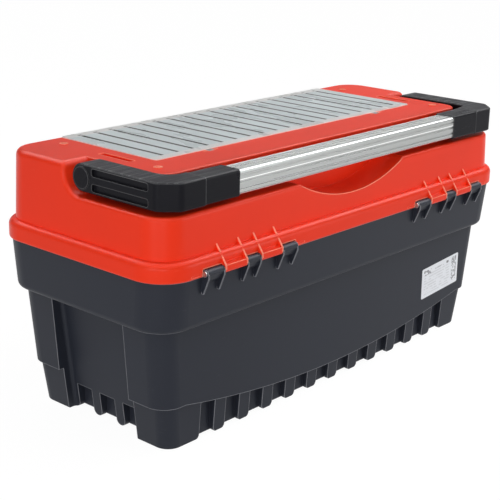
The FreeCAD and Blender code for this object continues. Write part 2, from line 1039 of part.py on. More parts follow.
def lid_wall():
    """The lid's drafted wall with the step for the handle, all its upper edges round."""
    full = block(
        "lid_wall_form",
        lid_wall_foot,
        s.lid_height,
        lid_section(lid_wall_foot, ZERO),
        lid_section(s.lid_height, ZERO),
        s.lid_corner,
    )
    body = body_from("lid_wall_body", cut("lid_stepped", full, handle_step()))
    beside = ((s.step_half_length + s.lid_half_length) / 2).value
    behind = ((s.step_back + s.lid_half_width) / 2).value

    def is_outside(edge):
        middle = edge.CenterOfMass
        return abs(middle.x) > beside or middle.y > behind

    def is_front(edge):
        return edge.BoundBox.YMin < -s.step_front.value - NEARLY

    ease_body(
        body, s.step_edge_round, lambda e: lies_at(e, "z", s.step_height) and is_outside(e)
    )
    ease_body(
        body,
        s.lid_round,
        lambda e: lies_at(e, "z", s.lid_height) and is_front(e),
    )
    return ease_body(
        body,
        s.crown_round,
        lambda e: lies_at(e, "z", s.lid_height)
        and e.BoundBox.YMax > ZERO.value
        and not is_outside(e),
    )


def handle_step():
    """What the step for the folded handle takes off the lid's back and ends."""
    far = s.rim_half_length + s.overrun
    inner = s.step_half_length
    body = upright(
        "handle_step",
        s.step_height,
        s.lid_height + s.overrun,
        [
            (-far, -s.step_front),
            (-inner, -s.step_front),
            (-inner, s.step_back, s.step_corner),
            (inner, s.step_back, s.step_corner),
            (inner, -s.step_front),
            (far, -s.step_front),
            (far, far),
            (-far, far),
        ],
    )

    def is_front(edge):
        return lies_at(edge, "y", -s.step_front) and lies_at(edge, "z", s.step_height)

    return ease_body(body, s.step_round, is_front)


def scoop(name, grow):
    """The finger hollow below the grip: a slice of a large upright disc."""
    body = new_body(name)
    front = s.step_back - grow
    back = s.rim_half_width + s.overrun
    sketch = sketch_on(body, "XZ_Plane", -back)
    centre = s.step_height - s.scoop_depth + s.scoop_radius
    circle_in(sketch, ZERO, centre, s.scoop_radius + grow)
    pad_on(body, sketch, back - front)
    return body


def lid_inside():
    inset = s.tub_wall + s.lip_gap + s.lip_thick
    foot = upright(
        "lid_inside_foot",
        s.rim_height - s.lip_drop - s.overrun,
        lid_wall_foot,
        centred(
            s.rim_half_length - inset, s.rim_half_width - inset, s.rim_corner - inset
        ),
    )
    main = block(
        "lid_inside_main",
        lid_wall_foot,
        step_under,
        lid_section(lid_wall_foot, s.lid_wall),
        lid_section(step_under, s.lid_wall),
        s.lid_corner - s.lid_wall,
    )
    side = s.step_half_length - s.lid_wall
    far = s.lid_half_length - s.lid_taper_length - s.lid_wall
    front = s.lid_half_width - s.lid_taper_width - s.lid_wall
    back = s.step_back - s.lid_wall
    front_back = s.step_front + s.lid_wall
    crown = upright(
        "lid_inside_crown",
        step_under,
        ceiling,
        [
            (-far, -front, s.lid_corner),
            (far, -front, s.lid_corner),
            (far, -front_back, s.corner_least),
            (side, -front_back, s.corner_least),
            (side, back, s.step_corner - s.lid_wall),
            (-side, back, s.step_corner - s.lid_wall),
            (-side, -front_back, s.corner_least),
            (-far, -front_back, s.corner_least),
        ],
    )
    hollow = fuse("lid_inside_steps", [foot, main, crown])
    return cut("lid_inside", hollow, scoop("scoop_wall", s.lid_wall))


def lid_knuckles(label, side):
    """The lid's half of one hinge: two barrels with a gusset at each end."""
    middle = s.hinge_column * side
    inner = s.knuckle_middle_half + s.knuckle_gap
    pieces = []
    wall_face = s.lid_half_width - s.lid_wall / 2
    flange_face = s.rim_half_width
    for n, (low, high) in enumerate(
        [(inner, s.knuckle_lid_end), (-s.knuckle_lid_end, -inner)]
    ):
        name = f"{label}_{n}"
        pieces.append(
            rod_x(
                f"lid_barrel_{name}",
                s.barrel_radius,
                middle + low,
                high - low,
                s.hinge_back,
                s.hinge_height,
            )
        )
        pieces.append(
            across_x(
                f"lid_web_{name}",
                middle + low,
                high - low,
                [
                    (flange_face, s.hinge_height - s.barrel_radius / 4),
                    (s.hinge_back, s.hinge_height - s.barrel_radius / 2),
                    (s.hinge_back + s.barrel_radius, s.hinge_height),
                    (s.hinge_back + s.barrel_radius, s.hinge_height + s.barrel_radius),
                    (flange_face, s.hinge_height + s.barrel_radius * WEB_RISE_SHARE),
                ],
            )
        )
        for m, place in enumerate((low, high - s.gusset_thick)):
            pieces.append(
                gusset(
                    f"lid_gusset_{name}_{m}",
                    middle + place,
                    [
                        (flange_face, s.hinge_height - s.barrel_radius / 4),
                        (s.hinge_back, s.hinge_height - s.barrel_radius),
                        (s.hinge_back + s.gusset_reach, s.hinge_height),
                        (s.hinge_back + s.gusset_reach, s.hinge_height + s.barrel_radius),
                        (wall_face, s.hinge_height + s.gusset_rise),
                        (wall_face, flange_top),
                    ],
                )
            )
    return pieces


def hinge_notches(label, side):
    """The gaps in the lid's flange where the tub's knuckles stand."""
    middle = s.hinge_column * side
    front = s.hinge_back - s.barrel_radius - s.notch_gap
    return [
        across_x(
            f"hinge_notch_{label}_{n}",
            middle + low - gap,
            high - low + gap * 2,
            box_corners(
                front,
                s.hinge_back + s.overrun,
                s.rim_height - s.overrun,
                s.hinge_height + s.barrel_radius + s.notch_gap,
            ),
        )
        for n, (low, high, gap) in enumerate(TUB_KNUCKLES)
    ]


def lid_top_details():
    """The small raised screw seats of the top frame."""
    pieces = []
    for label, side in SIDES:
        for row, place in (("front", -s.boss_front), ("back", s.boss_back)):
            pieces.append(
                rod_z(
                    f"boss_{label}_{row}",
                    s.boss_radius,
                    ceiling + s.lid_ceiling / 2,
                    s.lid_ceiling / 2 + s.boss_rise,
                    s.boss_column * side,
                    place,
                )
            )
    return pieces


def lid_top_cuts():
    """The seat of the organizer, its opening, the hand slots and the screw holes."""
    seat_length = s.cover_half_length + s.cover_gap
    seat = upright(
        "organizer_seat",
        bin_seat,
        s.lid_height + s.overrun,
        box_corners(
            -seat_length,
            seat_length,
            -(s.cover_front + s.cover_gap),
            s.cover_back + s.cover_gap,
            s.cover_corner + s.cover_gap,
        ),
    )
    hole_length = s.cover_half_length - s.bin_rim
    hole = upright(
        "organizer_opening",
        ceiling - s.overrun,
        s.lid_height,
        box_corners(
            -hole_length,
            hole_length,
            -(s.cover_front - s.bin_rim),
            s.cover_back - s.bin_rim,
            s.cover_corner,
        ),
    )
    pieces = [seat, hole]
    for label, side in SIDES:
        start, length = span(
            side, s.boss_column - s.slot_width / 2, s.boss_column + s.slot_width / 2
        )
        pieces.append(
            upright(
                f"hand_slot_{label}",
                s.lid_height - s.slot_depth,
                s.lid_height + s.overrun,
                box_corners(
                    start,
                    start + length,
                    -s.slot_middle - s.slot_length / 2,
                    -s.slot_middle + s.slot_length / 2,
                    s.slot_width / 3,
                ),
            )
        )
        for row, place in (("front", -s.boss_front), ("back", s.boss_back)):
            pieces.append(
                rod_z(
                    f"screw_seat_{label}_{row}",
                    s.screw_radius,
                    s.lid_height - s.screw_sink,
                    s.overrun,
                    s.boss_column * side,
                    place,
                )
            )
        pieces.append(
            rod_x(
                f"pivot_bore_{label}",
                s.pivot_pin_radius + s.running_gap,
                span(side, s.step_half_length - s.overrun, s.arm_outer)[0],
                s.arm_outer - s.step_half_length + s.overrun,
                ZERO,
                s.pivot_height,
            )
        )
    return pieces


def cover_hinge_cuts():
    """Pockets behind the cover for its two knuckles, and the holes of their pins."""
    pieces = []
    for label, side in SIDES:
        middle = s.cover_knuckle_column * side
        half = s.cover_knuckle_half + s.cover_gap
        radius = s.cover_knuckle_radius + s.cover_gap
        pieces.append(
            upright(
                f"cover_pocket_{label}",
                cover_hinge_height - radius,
                s.lid_height + s.overrun,
                box_corners(
                    middle - half, middle + half, s.cover_back, s.cover_hinge_back + radius
                ),
            )
        )
        reach = s.cover_knuckle_half + s.cover_pin_grip
        pieces.append(
            rod_x(
                f"cover_pin_bore_{label}",
                s.cover_pin_radius + s.running_gap,
                middle - reach,
                reach * 2,
                s.cover_hinge_back,
                cover_hinge_height,
            )
        )
    return pieces


def latch_ears(label, side):
    """Two ears on the lid's flange that hold a latch's pin, one at each side of it."""
    pieces = []
    face = s.rim_half_width + s.flange_swell_width - s.lid_wall
    for n, (near, far) in enumerate(
        [
            (s.latch_half_width + s.knuckle_gap, s.latch_half_width + s.latch_ear),
            (-(s.latch_half_width + s.latch_ear), -(s.latch_half_width + s.knuckle_gap)),
        ]
    ):
        pieces.append(
            across_x(
                f"latch_ear_{label}_{n}",
                s.latch_column * side + near,
                far - near,
                [
                    (-face, s.latch_height - s.latch_barrel * WEB_RISE_SHARE),
                    (-face, flange_top - s.flange_round / 2),
                    (-s.latch_front, s.latch_height + s.latch_barrel),
                    (-(s.latch_front + s.latch_barrel), s.latch_height),
                    (-s.latch_front, s.latch_height - s.latch_barrel),
                ],
            )
        )
    return pieces


def latch_notch(label, side):
    """The gap in the lid's flange that a latch's barrel turns in."""
    half = s.latch_half_width + s.knuckle_gap
    gap = s.latch_barrel + s.notch_gap
    return across_x(
        f"latch_notch_{label}",
        s.latch_column * side - half,
        half * 2,
        box_corners(
            -(s.latch_front + s.overrun),
            -(s.latch_front - gap),
            s.latch_height - gap,
            flange_top,
        ),
    )


def latch_bore(label, side):
    reach = s.latch_half_width + s.latch_ear + s.overrun
    return rod_x(
        f"latch_bore_{label}",
        s.latch_pin_radius + s.running_gap,
        s.latch_column * side - reach,
        reach * 2,
        -s.latch_front,
        s.latch_height,
    )


def make_lid():
    outer = fuse("lid_outer", lid_outside())
    taken = [scoop("finger_scoop", ZERO)]
    for label, side in SIDES:
        taken += hinge_notches(label, side)
        taken.append(latch_notch(label, side))
    shaped = cut("lid_shaped", outer, fuse("lid_taken", taken))
    solid = [shaped]
    for label, side in SIDES:
        solid += lid_knuckles(label, side)
        solid += latch_ears(label, side)
    solid += lid_top_details()
    inner = [lid_inside()] + lid_top_cuts() + cover_hinge_cuts()
    for label, side in SIDES:
        inner.append(hinge_bore(f"lid_bore_{label}", side))
        inner.append(latch_bore(label, side))
    made = cut("lid_shell_shape", fuse("lid_solid", solid), fuse("lid_inner", inner))
    node(made, "lid_shell")


def make_hinge_pins():
    for label, side in SIDES:
        reach = s.knuckle_tub_end
        middle = s.hinge_column * side
        stem = rod_x(
            f"hinge_stem_{label}",
            s.hinge_pin_radius,
            middle - reach,
            reach * 2,
            s.hinge_back,
            s.hinge_height,
        )
        heads = [
            rod_x(
                f"hinge_head_{label}_{n}",
                s.pin_head_radius,
                start,
                s.pin_head_thick,
                s.hinge_back,
                s.hinge_height,
            )
            for n, start in enumerate((middle - reach - s.pin_head_thick, middle + reach))
        ]
        node(fuse(f"hinge_pin_shape_{label}", [stem, *heads]), f"hinge_pin_{label}")


# Handle

arm_low = s.pivot_height - s.arm_nose
arm_high = s.pivot_height + s.arm_nose
leg_front = s.arm_back - s.arm_leg


def mirror_if(side, corners):
    """Corners as drawn for the right side, or turned over for the left one."""
    if side > 0:
        return corners
    return [(-corner[0], *corner[1:]) for corner in corners][::-1]


def make_arm(label, side):
    body = upright(
        f"arm_{label}",
        arm_low,
        arm_high,
        mirror_if(
            side,
            [
                (s.arm_inner, -s.arm_nose),
                (s.arm_outer, -s.arm_nose),
                (s.arm_outer, s.arm_back - s.arm_chamfer_long, s.arm_round),
                (s.arm_outer - s.arm_chamfer_wide, s.arm_back, s.arm_round),
                (s.arm_end, s.arm_back),
                (s.arm_end, leg_front),
                (s.arm_inner, leg_front, s.arm_inner_round),
            ],
        ),
    )

    def is_flat(edge):
        return lies_at(edge, "z", arm_low) or lies_at(edge, "z", arm_high)

    ease_body(
        body, s.arm_nose_round, lambda e: is_flat(e) and lies_at(e, "y", -s.arm_nose)
    )
    back_of_nose = (s.arm_nose_round - s.arm_nose).value
    ease_body(
        body,
        s.arm_edge,
        lambda e: is_flat(e)
        and not lies_at(e, "x", s.arm_end * side)
        and e.BoundBox.YMax > back_of_nose + NEARLY,
        "Chamfer",
    )
    start, length = span(side, s.arm_outer - s.channel_depth, s.arm_outer + s.overrun)
    cuts = []
    for n, place in enumerate((-1, 1)):
        middle = s.pivot_height + (s.channel_wide + s.channel_rib) / 2 * place
        cuts.append(
            across_x(
                f"channel_{label}_{n}",
                start,
                length,
                box_corners(
                    s.channel_front,
                    s.channel_back,
                    middle - s.channel_wide / 2,
                    middle + s.channel_wide / 2,
                    s.corner_least,
                ),
            )
        )
    head_start, head_length = span(
        side, s.arm_outer - s.pivot_head_sink, s.arm_outer + s.overrun
    )
    cuts.append(
        rod_x(
            f"head_seat_{label}",
            s.pivot_head_radius + s.seat_gap,
            head_start,
            head_length,
            ZERO,
            s.pivot_height,
        )
    )
    bore_start, bore_length = span(
        side, s.arm_inner - s.overrun, s.arm_outer + s.overrun
    )
    cuts.append(
        rod_x(
            f"arm_bore_{label}",
            s.pivot_pin_radius + s.running_gap,
            bore_start,
            bore_length,
            ZERO,
            s.pivot_height,
        )
    )
    made = cut(f"handle_arm_shape_{label}", body, fuse(f"arm_cuts_{label}", cuts))
    node(made, f"handle_arm_{label}")


grip_middle_back = s.arm_back - s.arm_leg / 2


def grip_corners(deep, tall, *rounds):
    return box_corners(
        grip_middle_back - deep / 2,
        grip_middle_back + deep / 2,
        s.pivot_height - tall / 2,
        s.pivot_height + tall / 2,
        *rounds,
    )


def make_socket(label, side):
    start, length = span(side, s.socket_end, s.arm_end)
    outside = across_x(
        f"socket_block_{label}",
        start,
        length,
        grip_corners(
            s.arm_leg - s.socket_swell, s.arm_tall - s.socket_swell, s.socket_round
        ),
    )
    ease_body(outside, s.socket_swell, lambda e: lies_at(e, "x", s.socket_end * side), "Chamfer")
    bore_start, bore_length = span(
        side, s.socket_end - s.overrun, s.socket_end + s.socket_grip
    )
    bore = across_x(
        f"socket_bore_{label}",
        bore_start,
        bore_length,
        grip_corners(
            s.grip_deep + s.running_gap * 2, s.grip_tall + s.running_gap * 2, s.grip_round
        ),
    )
    node(cut(f"grip_socket_shape_{label}", outside, bore), f"grip_socket_{label}")


GRIP_BACK_GROOVE_SHARES = (0.78, 0.52, 0.24)
GRIP_TOP_GROOVE_SHARES = (0.25, 0.5, 0.75)


def make_grip():
    """The extruded grip: a hollow rounded bar with fine grooves along it."""
    half = s.socket_end + s.socket_grip - s.seat_gap
    bar = across_x(
        "grip_bar", -half, half * 2, grip_corners(s.grip_deep, s.grip_tall, s.grip_round)
    )
    wall = s.grip_wall * 2
    cuts = [
        across_x(
            "grip_hollow",
            -half - s.overrun,
            (half + s.overrun) * 2,
            grip_corners(s.grip_deep - wall, s.grip_tall - wall, s.grip_round / 2),
        )
    ]
    low = s.pivot_height - s.grip_tall / 2
    front = grip_middle_back - s.grip_deep / 2
    back = grip_middle_back + s.grip_deep / 2
    high = s.pivot_height + s.grip_tall / 2
    wide = s.grip_groove_wide / 2
    for n, share in enumerate(GRIP_BACK_GROOVE_SHARES):
        middle = low + s.grip_tall * share
        cuts.append(
            across_x(
                f"grip_groove_back_{n}",
                -half - s.overrun,
                (half + s.overrun) * 2,
                box_corners(
                    back - s.grip_groove_deep, back + s.overrun, middle - wide, middle + wide
                ),
            )
        )
    for n, share in enumerate(GRIP_TOP_GROOVE_SHARES):
        middle = front + s.grip_deep * share
        cuts.append(
            across_x(
                f"grip_groove_top_{n}",
                -half - s.overrun,
                (half + s.overrun) * 2,
                box_corners(
                    middle - wide, middle + wide, high - s.grip_groove_deep, high + s.overrun
                ),
            )
        )
    node(cut("grip_profile_shape", bar, fuse("grip_cuts", cuts)), "grip_profile")


def make_pivot(label, side):
    """The pin that an arm turns on, with its outer head and its nut inside the lid."""
    inner = s.step_half_length - s.lid_wall
    sink = s.arm_outer - s.pivot_head_sink
    pieces = []
    for part, radius, near, far in (
        ("stem", s.pivot_pin_radius, inner - s.pivot_nut_thick, sink),
        (
            "head",
            s.pivot_head_radius,
            sink + s.seat_gap,
            sink + s.seat_gap + s.pivot_head_thick,
        ),
        ("neck", s.pivot_pin_radius, sink, sink + s.pivot_head_thick),
        ("nut", s.pivot_nut_radius, inner - s.pivot_nut_thick, inner),
    ):
        start, length = span(side, near, far)
        pieces.append(
            rod_x(f"pivot_{part}_{label}", radius, start, length, ZERO, s.pivot_height)
        )
    node(fuse(f"handle_pivot_shape_{label}", pieces), f"handle_pivot_{label}")


# Organizer


def make_bin():
    """The organizer's bin: a flange on the lid's seat and a body with rows of cells."""
    half = s.cover_half_length
    front = -s.cover_front
    back = s.cover_back
    flange = upright(
        "bin_flange_form",
        bin_seat,
        bin_seat + s.bin_flange,
        box_corners(-half, half, front, back, s.cover_corner),
    )
    inset = s.bin_rim + s.bin_gap
    low = bin_seat - s.bin_depth
    body = upright(
        "bin_block",
        low,
        bin_seat + s.bin_flange,
        box_corners(-half + inset, half - inset, front + inset, back - inset, s.cover_corner),
    )
    cells = []
    inner_half = half - inset - s.bin_wall
    wide = (inner_half * 2 + s.bin_wall) / BIN_COLUMN_COUNT
    inner_front = front + inset + s.bin_wall
    inner_back = back - inset - s.bin_wall
    deep = (inner_back - inner_front + s.bin_wall) / 2
    for column in range(BIN_COLUMN_COUNT):
        for row in range(2):
            left = -inner_half + wide * column
            near = inner_front + deep * row
            cells.append(
                upright(
                    f"bin_cell_{column}_{row}",
                    low + s.bin_wall,
                    s.lid_height,
                    box_corners(
                        left, left + wide - s.bin_wall, near, near + deep - s.bin_wall
                    ),
                )
            )
    made = cut("organizer_bin_shape", fuse("bin_solid", [flange, body]), fuse("bin_cells", cells))
    node(made, "organizer_bin")


def make_cover():
    half = s.cover_half_length
    plate = upright(
        "cover_plate",
        cover_low,
        cover_low + s.cover_thick,
        box_corners(-half, half, -s.cover_front, s.cover_back, s.cover_corner),
    )
    sketch = sketch_on(plate, "XY_Plane", cover_low + s.cover_thick)
    count = copies((half - s.cover_groove_end) * 2, s.cover_groove_pitch)
    first = -(s.cover_groove_pitch * (count - 1)) / 2
    outline(
        sketch,
        box_corners(
            first - s.cover_groove_wide / 2,
            first + s.cover_groove_wide / 2,
            -s.cover_groove_front,
            s.cover_groove_back,
        ),
    )
    groove = plate.newObject("PartDesign::Pocket", "cover_groove")
    groove.Profile = sketch
    groove.setExpression("Length", s.cover_groove_deep.text)
    pattern = plate.newObject("PartDesign::LinearPattern", "cover_grooves")
    pattern.Originals = [groove]
    pattern.Direction = (sketch, ["H_Axis"])
    pattern.Mode = "Extent"
    pattern.setExpression("Length", (-first * 2).text)
    pattern.Occurrences = count
    plate.Tip = pattern
    solid = [plate]
    bores = []
    for label, side in SIDES:
        middle = s.cover_knuckle_column * side
        start = middle - s.cover_knuckle_half
        solid.append(
            rod_x(
                f"cover_knuckle_{label}",
                s.cover_knuckle_radius,
                start,
                s.cover_knuckle_half * 2,
                s.cover_hinge_back,
                cover_hinge_height,
            )
        )
        solid.append(
            across_x(
                f"cover_strap_{label}",
                start,
                s.cover_knuckle_half * 2,
                box_corners(
                    s.cover_back - s.cover_thick,
                    s.cover_hinge_back,
                    cover_low + s.cover_thick / 4,
                    s.lid_height,
                ),
            )
        )
        bores.append(
            rod_x(
                f"cover_bore_{label}",
                s.cover_pin_radius + s.running_gap,
                start - s.overrun,
                (s.cover_knuckle_half + s.overrun) * 2,
                s.cover_hinge_back,
                cover_hinge_height,
            )
        )
        reach = s.cover_knuckle_half + s.cover_pin_grip
        node(
            rod_x(
                f"cover_pin_rod_{label}",
                s.cover_pin_radius,
                middle - reach,
                reach * 2,
                s.cover_hinge_back,
                cover_hinge_height,
            ),
            f"cover_pin_{label}",
        )
    made = cut("organizer_cover_shape", fuse("cover_solid", solid), fuse("cover_bores", bores))
    node(made, "organizer_cover")


def make_frame_screws():
    screws = []
    for label, side in SIDES:
        for row, place in (("front", -s.boss_front), ("back", s.boss_back)):
            screws.append(
                rod_z(
                    f"screw_{label}_{row}",
                    s.screw_radius - s.running_gap,
                    s.lid_height - s.screw_sink,
                    s.screw_sink + s.boss_rise / 2,
                    s.boss_column * side,
                    place,
                )
            )
    group = DOC.addObject("Part::Compound", "frame_screw_group")
    group.Links = screws
    node(group, "frame_screws")


# Trays and their mechanism

lift_back = s.hinge_back - s.arm_reach
lift_height = s.hinge_height
tray_half_length = s.arm_plane - s.tray_end_gap
bracket_plane = s.arm_plane + s.arm_thick + s.arm_clear


def upper_point():
    return s.long_pivot_back - s.arm_reach, s.long_pivot_height


def strap(name, start, front, back, height):
    """A flat arm along Y with round ends about two holes, in the plane that starts at start."""
    around = s.arm_half_width
    return across_x(
        name,
        start,
        s.arm_thick,
        box_corners(
            front - around,
            back + around,
            height - around,
            height + around,
            around * STRAP_ROUND_SHARE,
        ),
    )


def make_tray_arms():
    for label, side in SIDES:
        start, _ = span(side, s.arm_plane, s.arm_plane + s.arm_thick)
        for kind, reach, back, height in (
            ("long", s.arm_reach, s.long_pivot_back, s.long_pivot_height),
            ("short", s.arm_reach / 2, s.short_pivot_back, s.short_pivot_height),
        ):
            front = back - reach
            arm = strap(f"{kind}_strap_{label}", start, front, back, height)
            places = [front, back]
            if kind == "long":
                places.append(back - s.arm_reach / 2)
            bores = [
                rod_x(
                    f"{kind}_hole_{label}_{n}",
                    s.rivet_radius + s.running_gap,
                    start - s.overrun,
                    s.arm_thick + s.overrun * 2,
                    place,
                    height,
                )
                for n, place in enumerate(places)
            ]
            made = cut(f"{kind}_arm_shape_{label}", arm, fuse(f"{kind}_holes_{label}", bores))
            node(made, f"tray_arm_{kind}_{label}")


def tray_shell(name, half_length, bottom, cells):
    """An open tray's body, and the rooms between its cross walls."""
    high = bottom + s.tray_deep
    body = upright(
        f"{name}_block",
        bottom,
        high,
        box_corners(
            -half_length,
            half_length,
            -s.tray_front,
            s.tray_back,
            s.tray_corner,
        ),
    )
    inner_half = half_length - s.tray_wall
    wide = (inner_half * 2 + s.tray_wall) / cells
    rooms = []
    for n in range(cells):
        left = -inner_half + wide * n
        rooms.append(
            upright(
                f"{name}_room_{n}",
                bottom + s.tray_wall,
                high + s.overrun,
                box_corners(
                    left,
                    left + wide - s.tray_wall,
                    -s.tray_front + s.tray_wall,
                    s.tray_back - s.tray_wall,
                    s.tray_corner - s.tray_wall,
                ),
            )
        )
    return body, rooms


def rivet_hole(name, side, back, height):
    start, length = span(side, tray_half_length - s.overrun, s.arm_plane + s.overrun)
    return rod_x(name, s.rivet_radius, start, length, back, height)


def make_upper_tray():
    half = tray_half_length
    body, rooms = tray_shell("upper", half, s.upper_tray_bottom, TRAY_CELL_COUNT)
    solid = [body]
    holes = []
    low_back, low_height = upper_point()
    for label, side in SIDES:
        start, _ = span(side, half - s.tray_wall, half)
        solid.append(
            across_x(
                f"upper_lug_{label}",
                start,
                s.tray_wall,
                [
                    (low_back - s.lug_radius * LUG_FOOT_SHARE, s.upper_tray_bottom + s.tray_deep / 4),
                    (low_back - s.lug_radius, low_height - s.lug_radius, s.lug_radius / 2),
                    (low_back + s.lug_radius, low_height - s.lug_radius, s.lug_radius / 2),
                    (low_back + s.lug_radius * LUG_FOOT_SHARE, s.upper_tray_bottom + s.tray_deep / 4),
                ],
            )
        )
        holes.append(rivet_hole(f"upper_hole_{label}", side, low_back, low_height))
        holes.append(rivet_hole(f"lift_hole_{label}", side, lift_back, lift_height))
    made = cut("upper_tray_shape", fuse("upper_solid", solid), fuse("upper_cut", rooms + holes))
    node(made, "upper_tray")


def make_lower_tray():
    half = tray_half_length - s.lower_tray_inset
    body, rooms = tray_shell("lower", half, s.lower_tray_bottom, TRAY_CELL_COUNT)
    solid = [body]
    holes = []
    for label, side in SIDES:
        start, _ = span(side, half - s.tray_wall / 2, tray_half_length)
        for kind, back, height in (
            ("long", s.long_pivot_back - s.arm_reach / 2, s.long_pivot_height),
            ("short", s.short_pivot_back - s.arm_reach / 2, s.short_pivot_height),
        ):
            solid.append(
                rod_x(
                    f"lower_boss_{kind}_{label}",
                    s.arm_half_width,
                    start,
                    s.lower_tray_inset + s.tray_wall / 2,
                    back,
                    height,
                )
            )
            holes.append(rivet_hole(f"lower_hole_{kind}_{label}", side, back, height))
    made = cut("lower_tray_shape", fuse("lower_solid", solid), fuse("lower_cut", rooms + holes))
    node(made, "lower_tray")


def rivets(name, places, near, far):
    """Rivets along X at both ends: a shank from near to far, with a head inside and outside."""
    pieces = []
    for label, side in SIDES:
        for n, (back, height) in enumerate(places):
            shank_start, shank_length = span(side, near, far)
            tag = f"{name}_{label}_{n}"
            shank = rod_x(f"{tag}_shank", s.rivet_radius, shank_start, shank_length, back, height)
            head_start, head_length = span(side, far, far + s.rivet_head_thick)
            head = rod_x(
                f"{tag}_head", s.rivet_head_radius, head_start, head_length, back, height
            )
            pieces.append(fuse(f"{tag}_rivet", [shank, head]))
    group = DOC.addObject("Part::Compound", f"{name}_group")
    group.Links = pieces
    node(group, name)


def make_rivets():
    rivets(
        "upper_tray_rivets",
        [upper_point(), (lift_back, lift_height)],
        tray_half_length - s.tray_wall,
        bracket_plane,
    )
    rivets(
        "lower_tray_rivets",
        [
            (s.long_pivot_back - s.arm_reach / 2, s.long_pivot_height),
            (s.short_pivot_back - s.arm_reach / 2, s.short_pivot_height),
        ],
        tray_half_length - s.lower_tray_inset - s.tray_wall,
        bracket_plane,
    )


def make_tub_bracket(label, side):
    """The bracket on the tub's end ledge that carries both arms of its end."""
    ledge = band_bottom + s.tub_wall + s.seat_gap
    thick = s.bracket_thick
    start, _ = span(side, bracket_plane, bracket_plane + thick)
    plate = across_x(
        f"bracket_plate_{label}",
        start,
        thick,
        box_corners(
            s.bracket_front, s.bracket_back, s.bracket_low, s.bracket_high, s.arm_half_width
        ),
    )
    foot_start, foot_length = span(side, bracket_plane, s.bracket_reach)
    foot = across_x(
        f"bracket_foot_{label}",
        foot_start,
        foot_length,
        box_corners(s.bracket_front, s.bracket_back - s.recess_round, ledge, ledge + thick),
    )
    pieces = [plate, foot]
    for n, place in enumerate((s.bracket_front, s.bracket_back - s.recess_round - thick)):
        pieces.append(
            across_y(
                f"bracket_web_{label}_{n}",
                place,
                thick,
                mirror_if(
                    side,
                    [
                        (bracket_plane, ledge),
                        (s.bracket_reach, ledge),
                        (s.bracket_reach, ledge + thick * 2),
                        (bracket_plane + thick, s.bracket_high - s.arm_half_width),
                        (bracket_plane, s.bracket_high - s.arm_half_width),
                    ],
                ),
            )
        )
    holes = []
    pins = []
    for kind, back, height in (
        ("long", s.long_pivot_back, s.long_pivot_height),
        ("short", s.short_pivot_back, s.short_pivot_height),
    ):
        hole_start, hole_length = span(
            side, bracket_plane - s.overrun, bracket_plane + thick + s.overrun
        )
        holes.append(
            rod_x(
                f"bracket_hole_{kind}_{label}",
                s.rivet_radius,
                hole_start,
                hole_length,
                back,
                height,
            )
        )
        stem_start, stem_length = span(
            side, s.arm_plane - s.arm_clear, bracket_plane + thick
        )
        stem = rod_x(
            f"pivot_stem_{kind}_{label}", s.rivet_radius, stem_start, stem_length, back, height
        )
        head_start, head_length = span(
            side, s.arm_plane - s.arm_clear - s.rivet_head_thick, s.arm_plane - s.arm_clear
        )
        head = rod_x(
            f"pivot_cap_{kind}_{label}",
            s.rivet_head_radius,
            head_start,
            head_length,
            back,
            height,
        )
        pins.append(fuse(f"arm_pivot_{kind}_{label}", [stem, head]))
    made = cut(
        f"tub_bracket_shape_{label}",
        fuse(f"bracket_solid_{label}", pieces),
        fuse(f"bracket_holes_{label}", holes),
    )
    node(made, f"tub_bracket_{label}")
    group = DOC.addObject("Part::Compound", f"arm_pivot_group_{label}")
    group.Links = pins
    node(group, f"arm_pivots_{label}")


def make_lift_plate(label, side):
    """The plate under the lid's ceiling that lifts the upper tray by its pin."""
    start, _ = span(side, s.arm_plane, s.arm_plane + s.arm_thick)
    top = ceiling - s.seat_gap
    plate = across_x(
        f"lift_blade_{label}",
        start,
        s.arm_thick,
        [
            (lift_back - s.lug_radius, lift_height - s.lug_radius, s.lug_radius * LUG_ROUND_SHARE),
            (lift_back + s.lug_radius, lift_height - s.lug_radius, s.lug_radius * LUG_ROUND_SHARE),
            (s.lift_plate_back, step_under, s.lug_radius),
            (s.lift_plate_back, top),
            (-s.lift_plate_front, top),
            (-s.lift_plate_front, step_under, s.lug_radius),
        ],
    )
    flange_start, flange_length = span(
        side, s.arm_plane - s.lift_flange, s.arm_plane + s.arm_thick
    )
    flange = across_x(
        f"lift_flange_{label}",
        flange_start,
        flange_length,
        box_corners(-s.lift_plate_front, s.lift_plate_back, top - s.bracket_thick, top),
    )
    hole_start, hole_length = span(side, s.arm_plane - s.overrun, s.arm_plane + s.overrun)
    hole = rod_x(
        f"lift_bore_{label}",
        s.rivet_radius + s.running_gap,
        hole_start,
        hole_length,
        lift_back,
        lift_height,
    )
    made = cut(f"lift_plate_shape_{label}", fuse(f"lift_solid_{label}", [plate, flange]), hole)
    node(made, f"tray_lift_plate_{label}")


# Latches


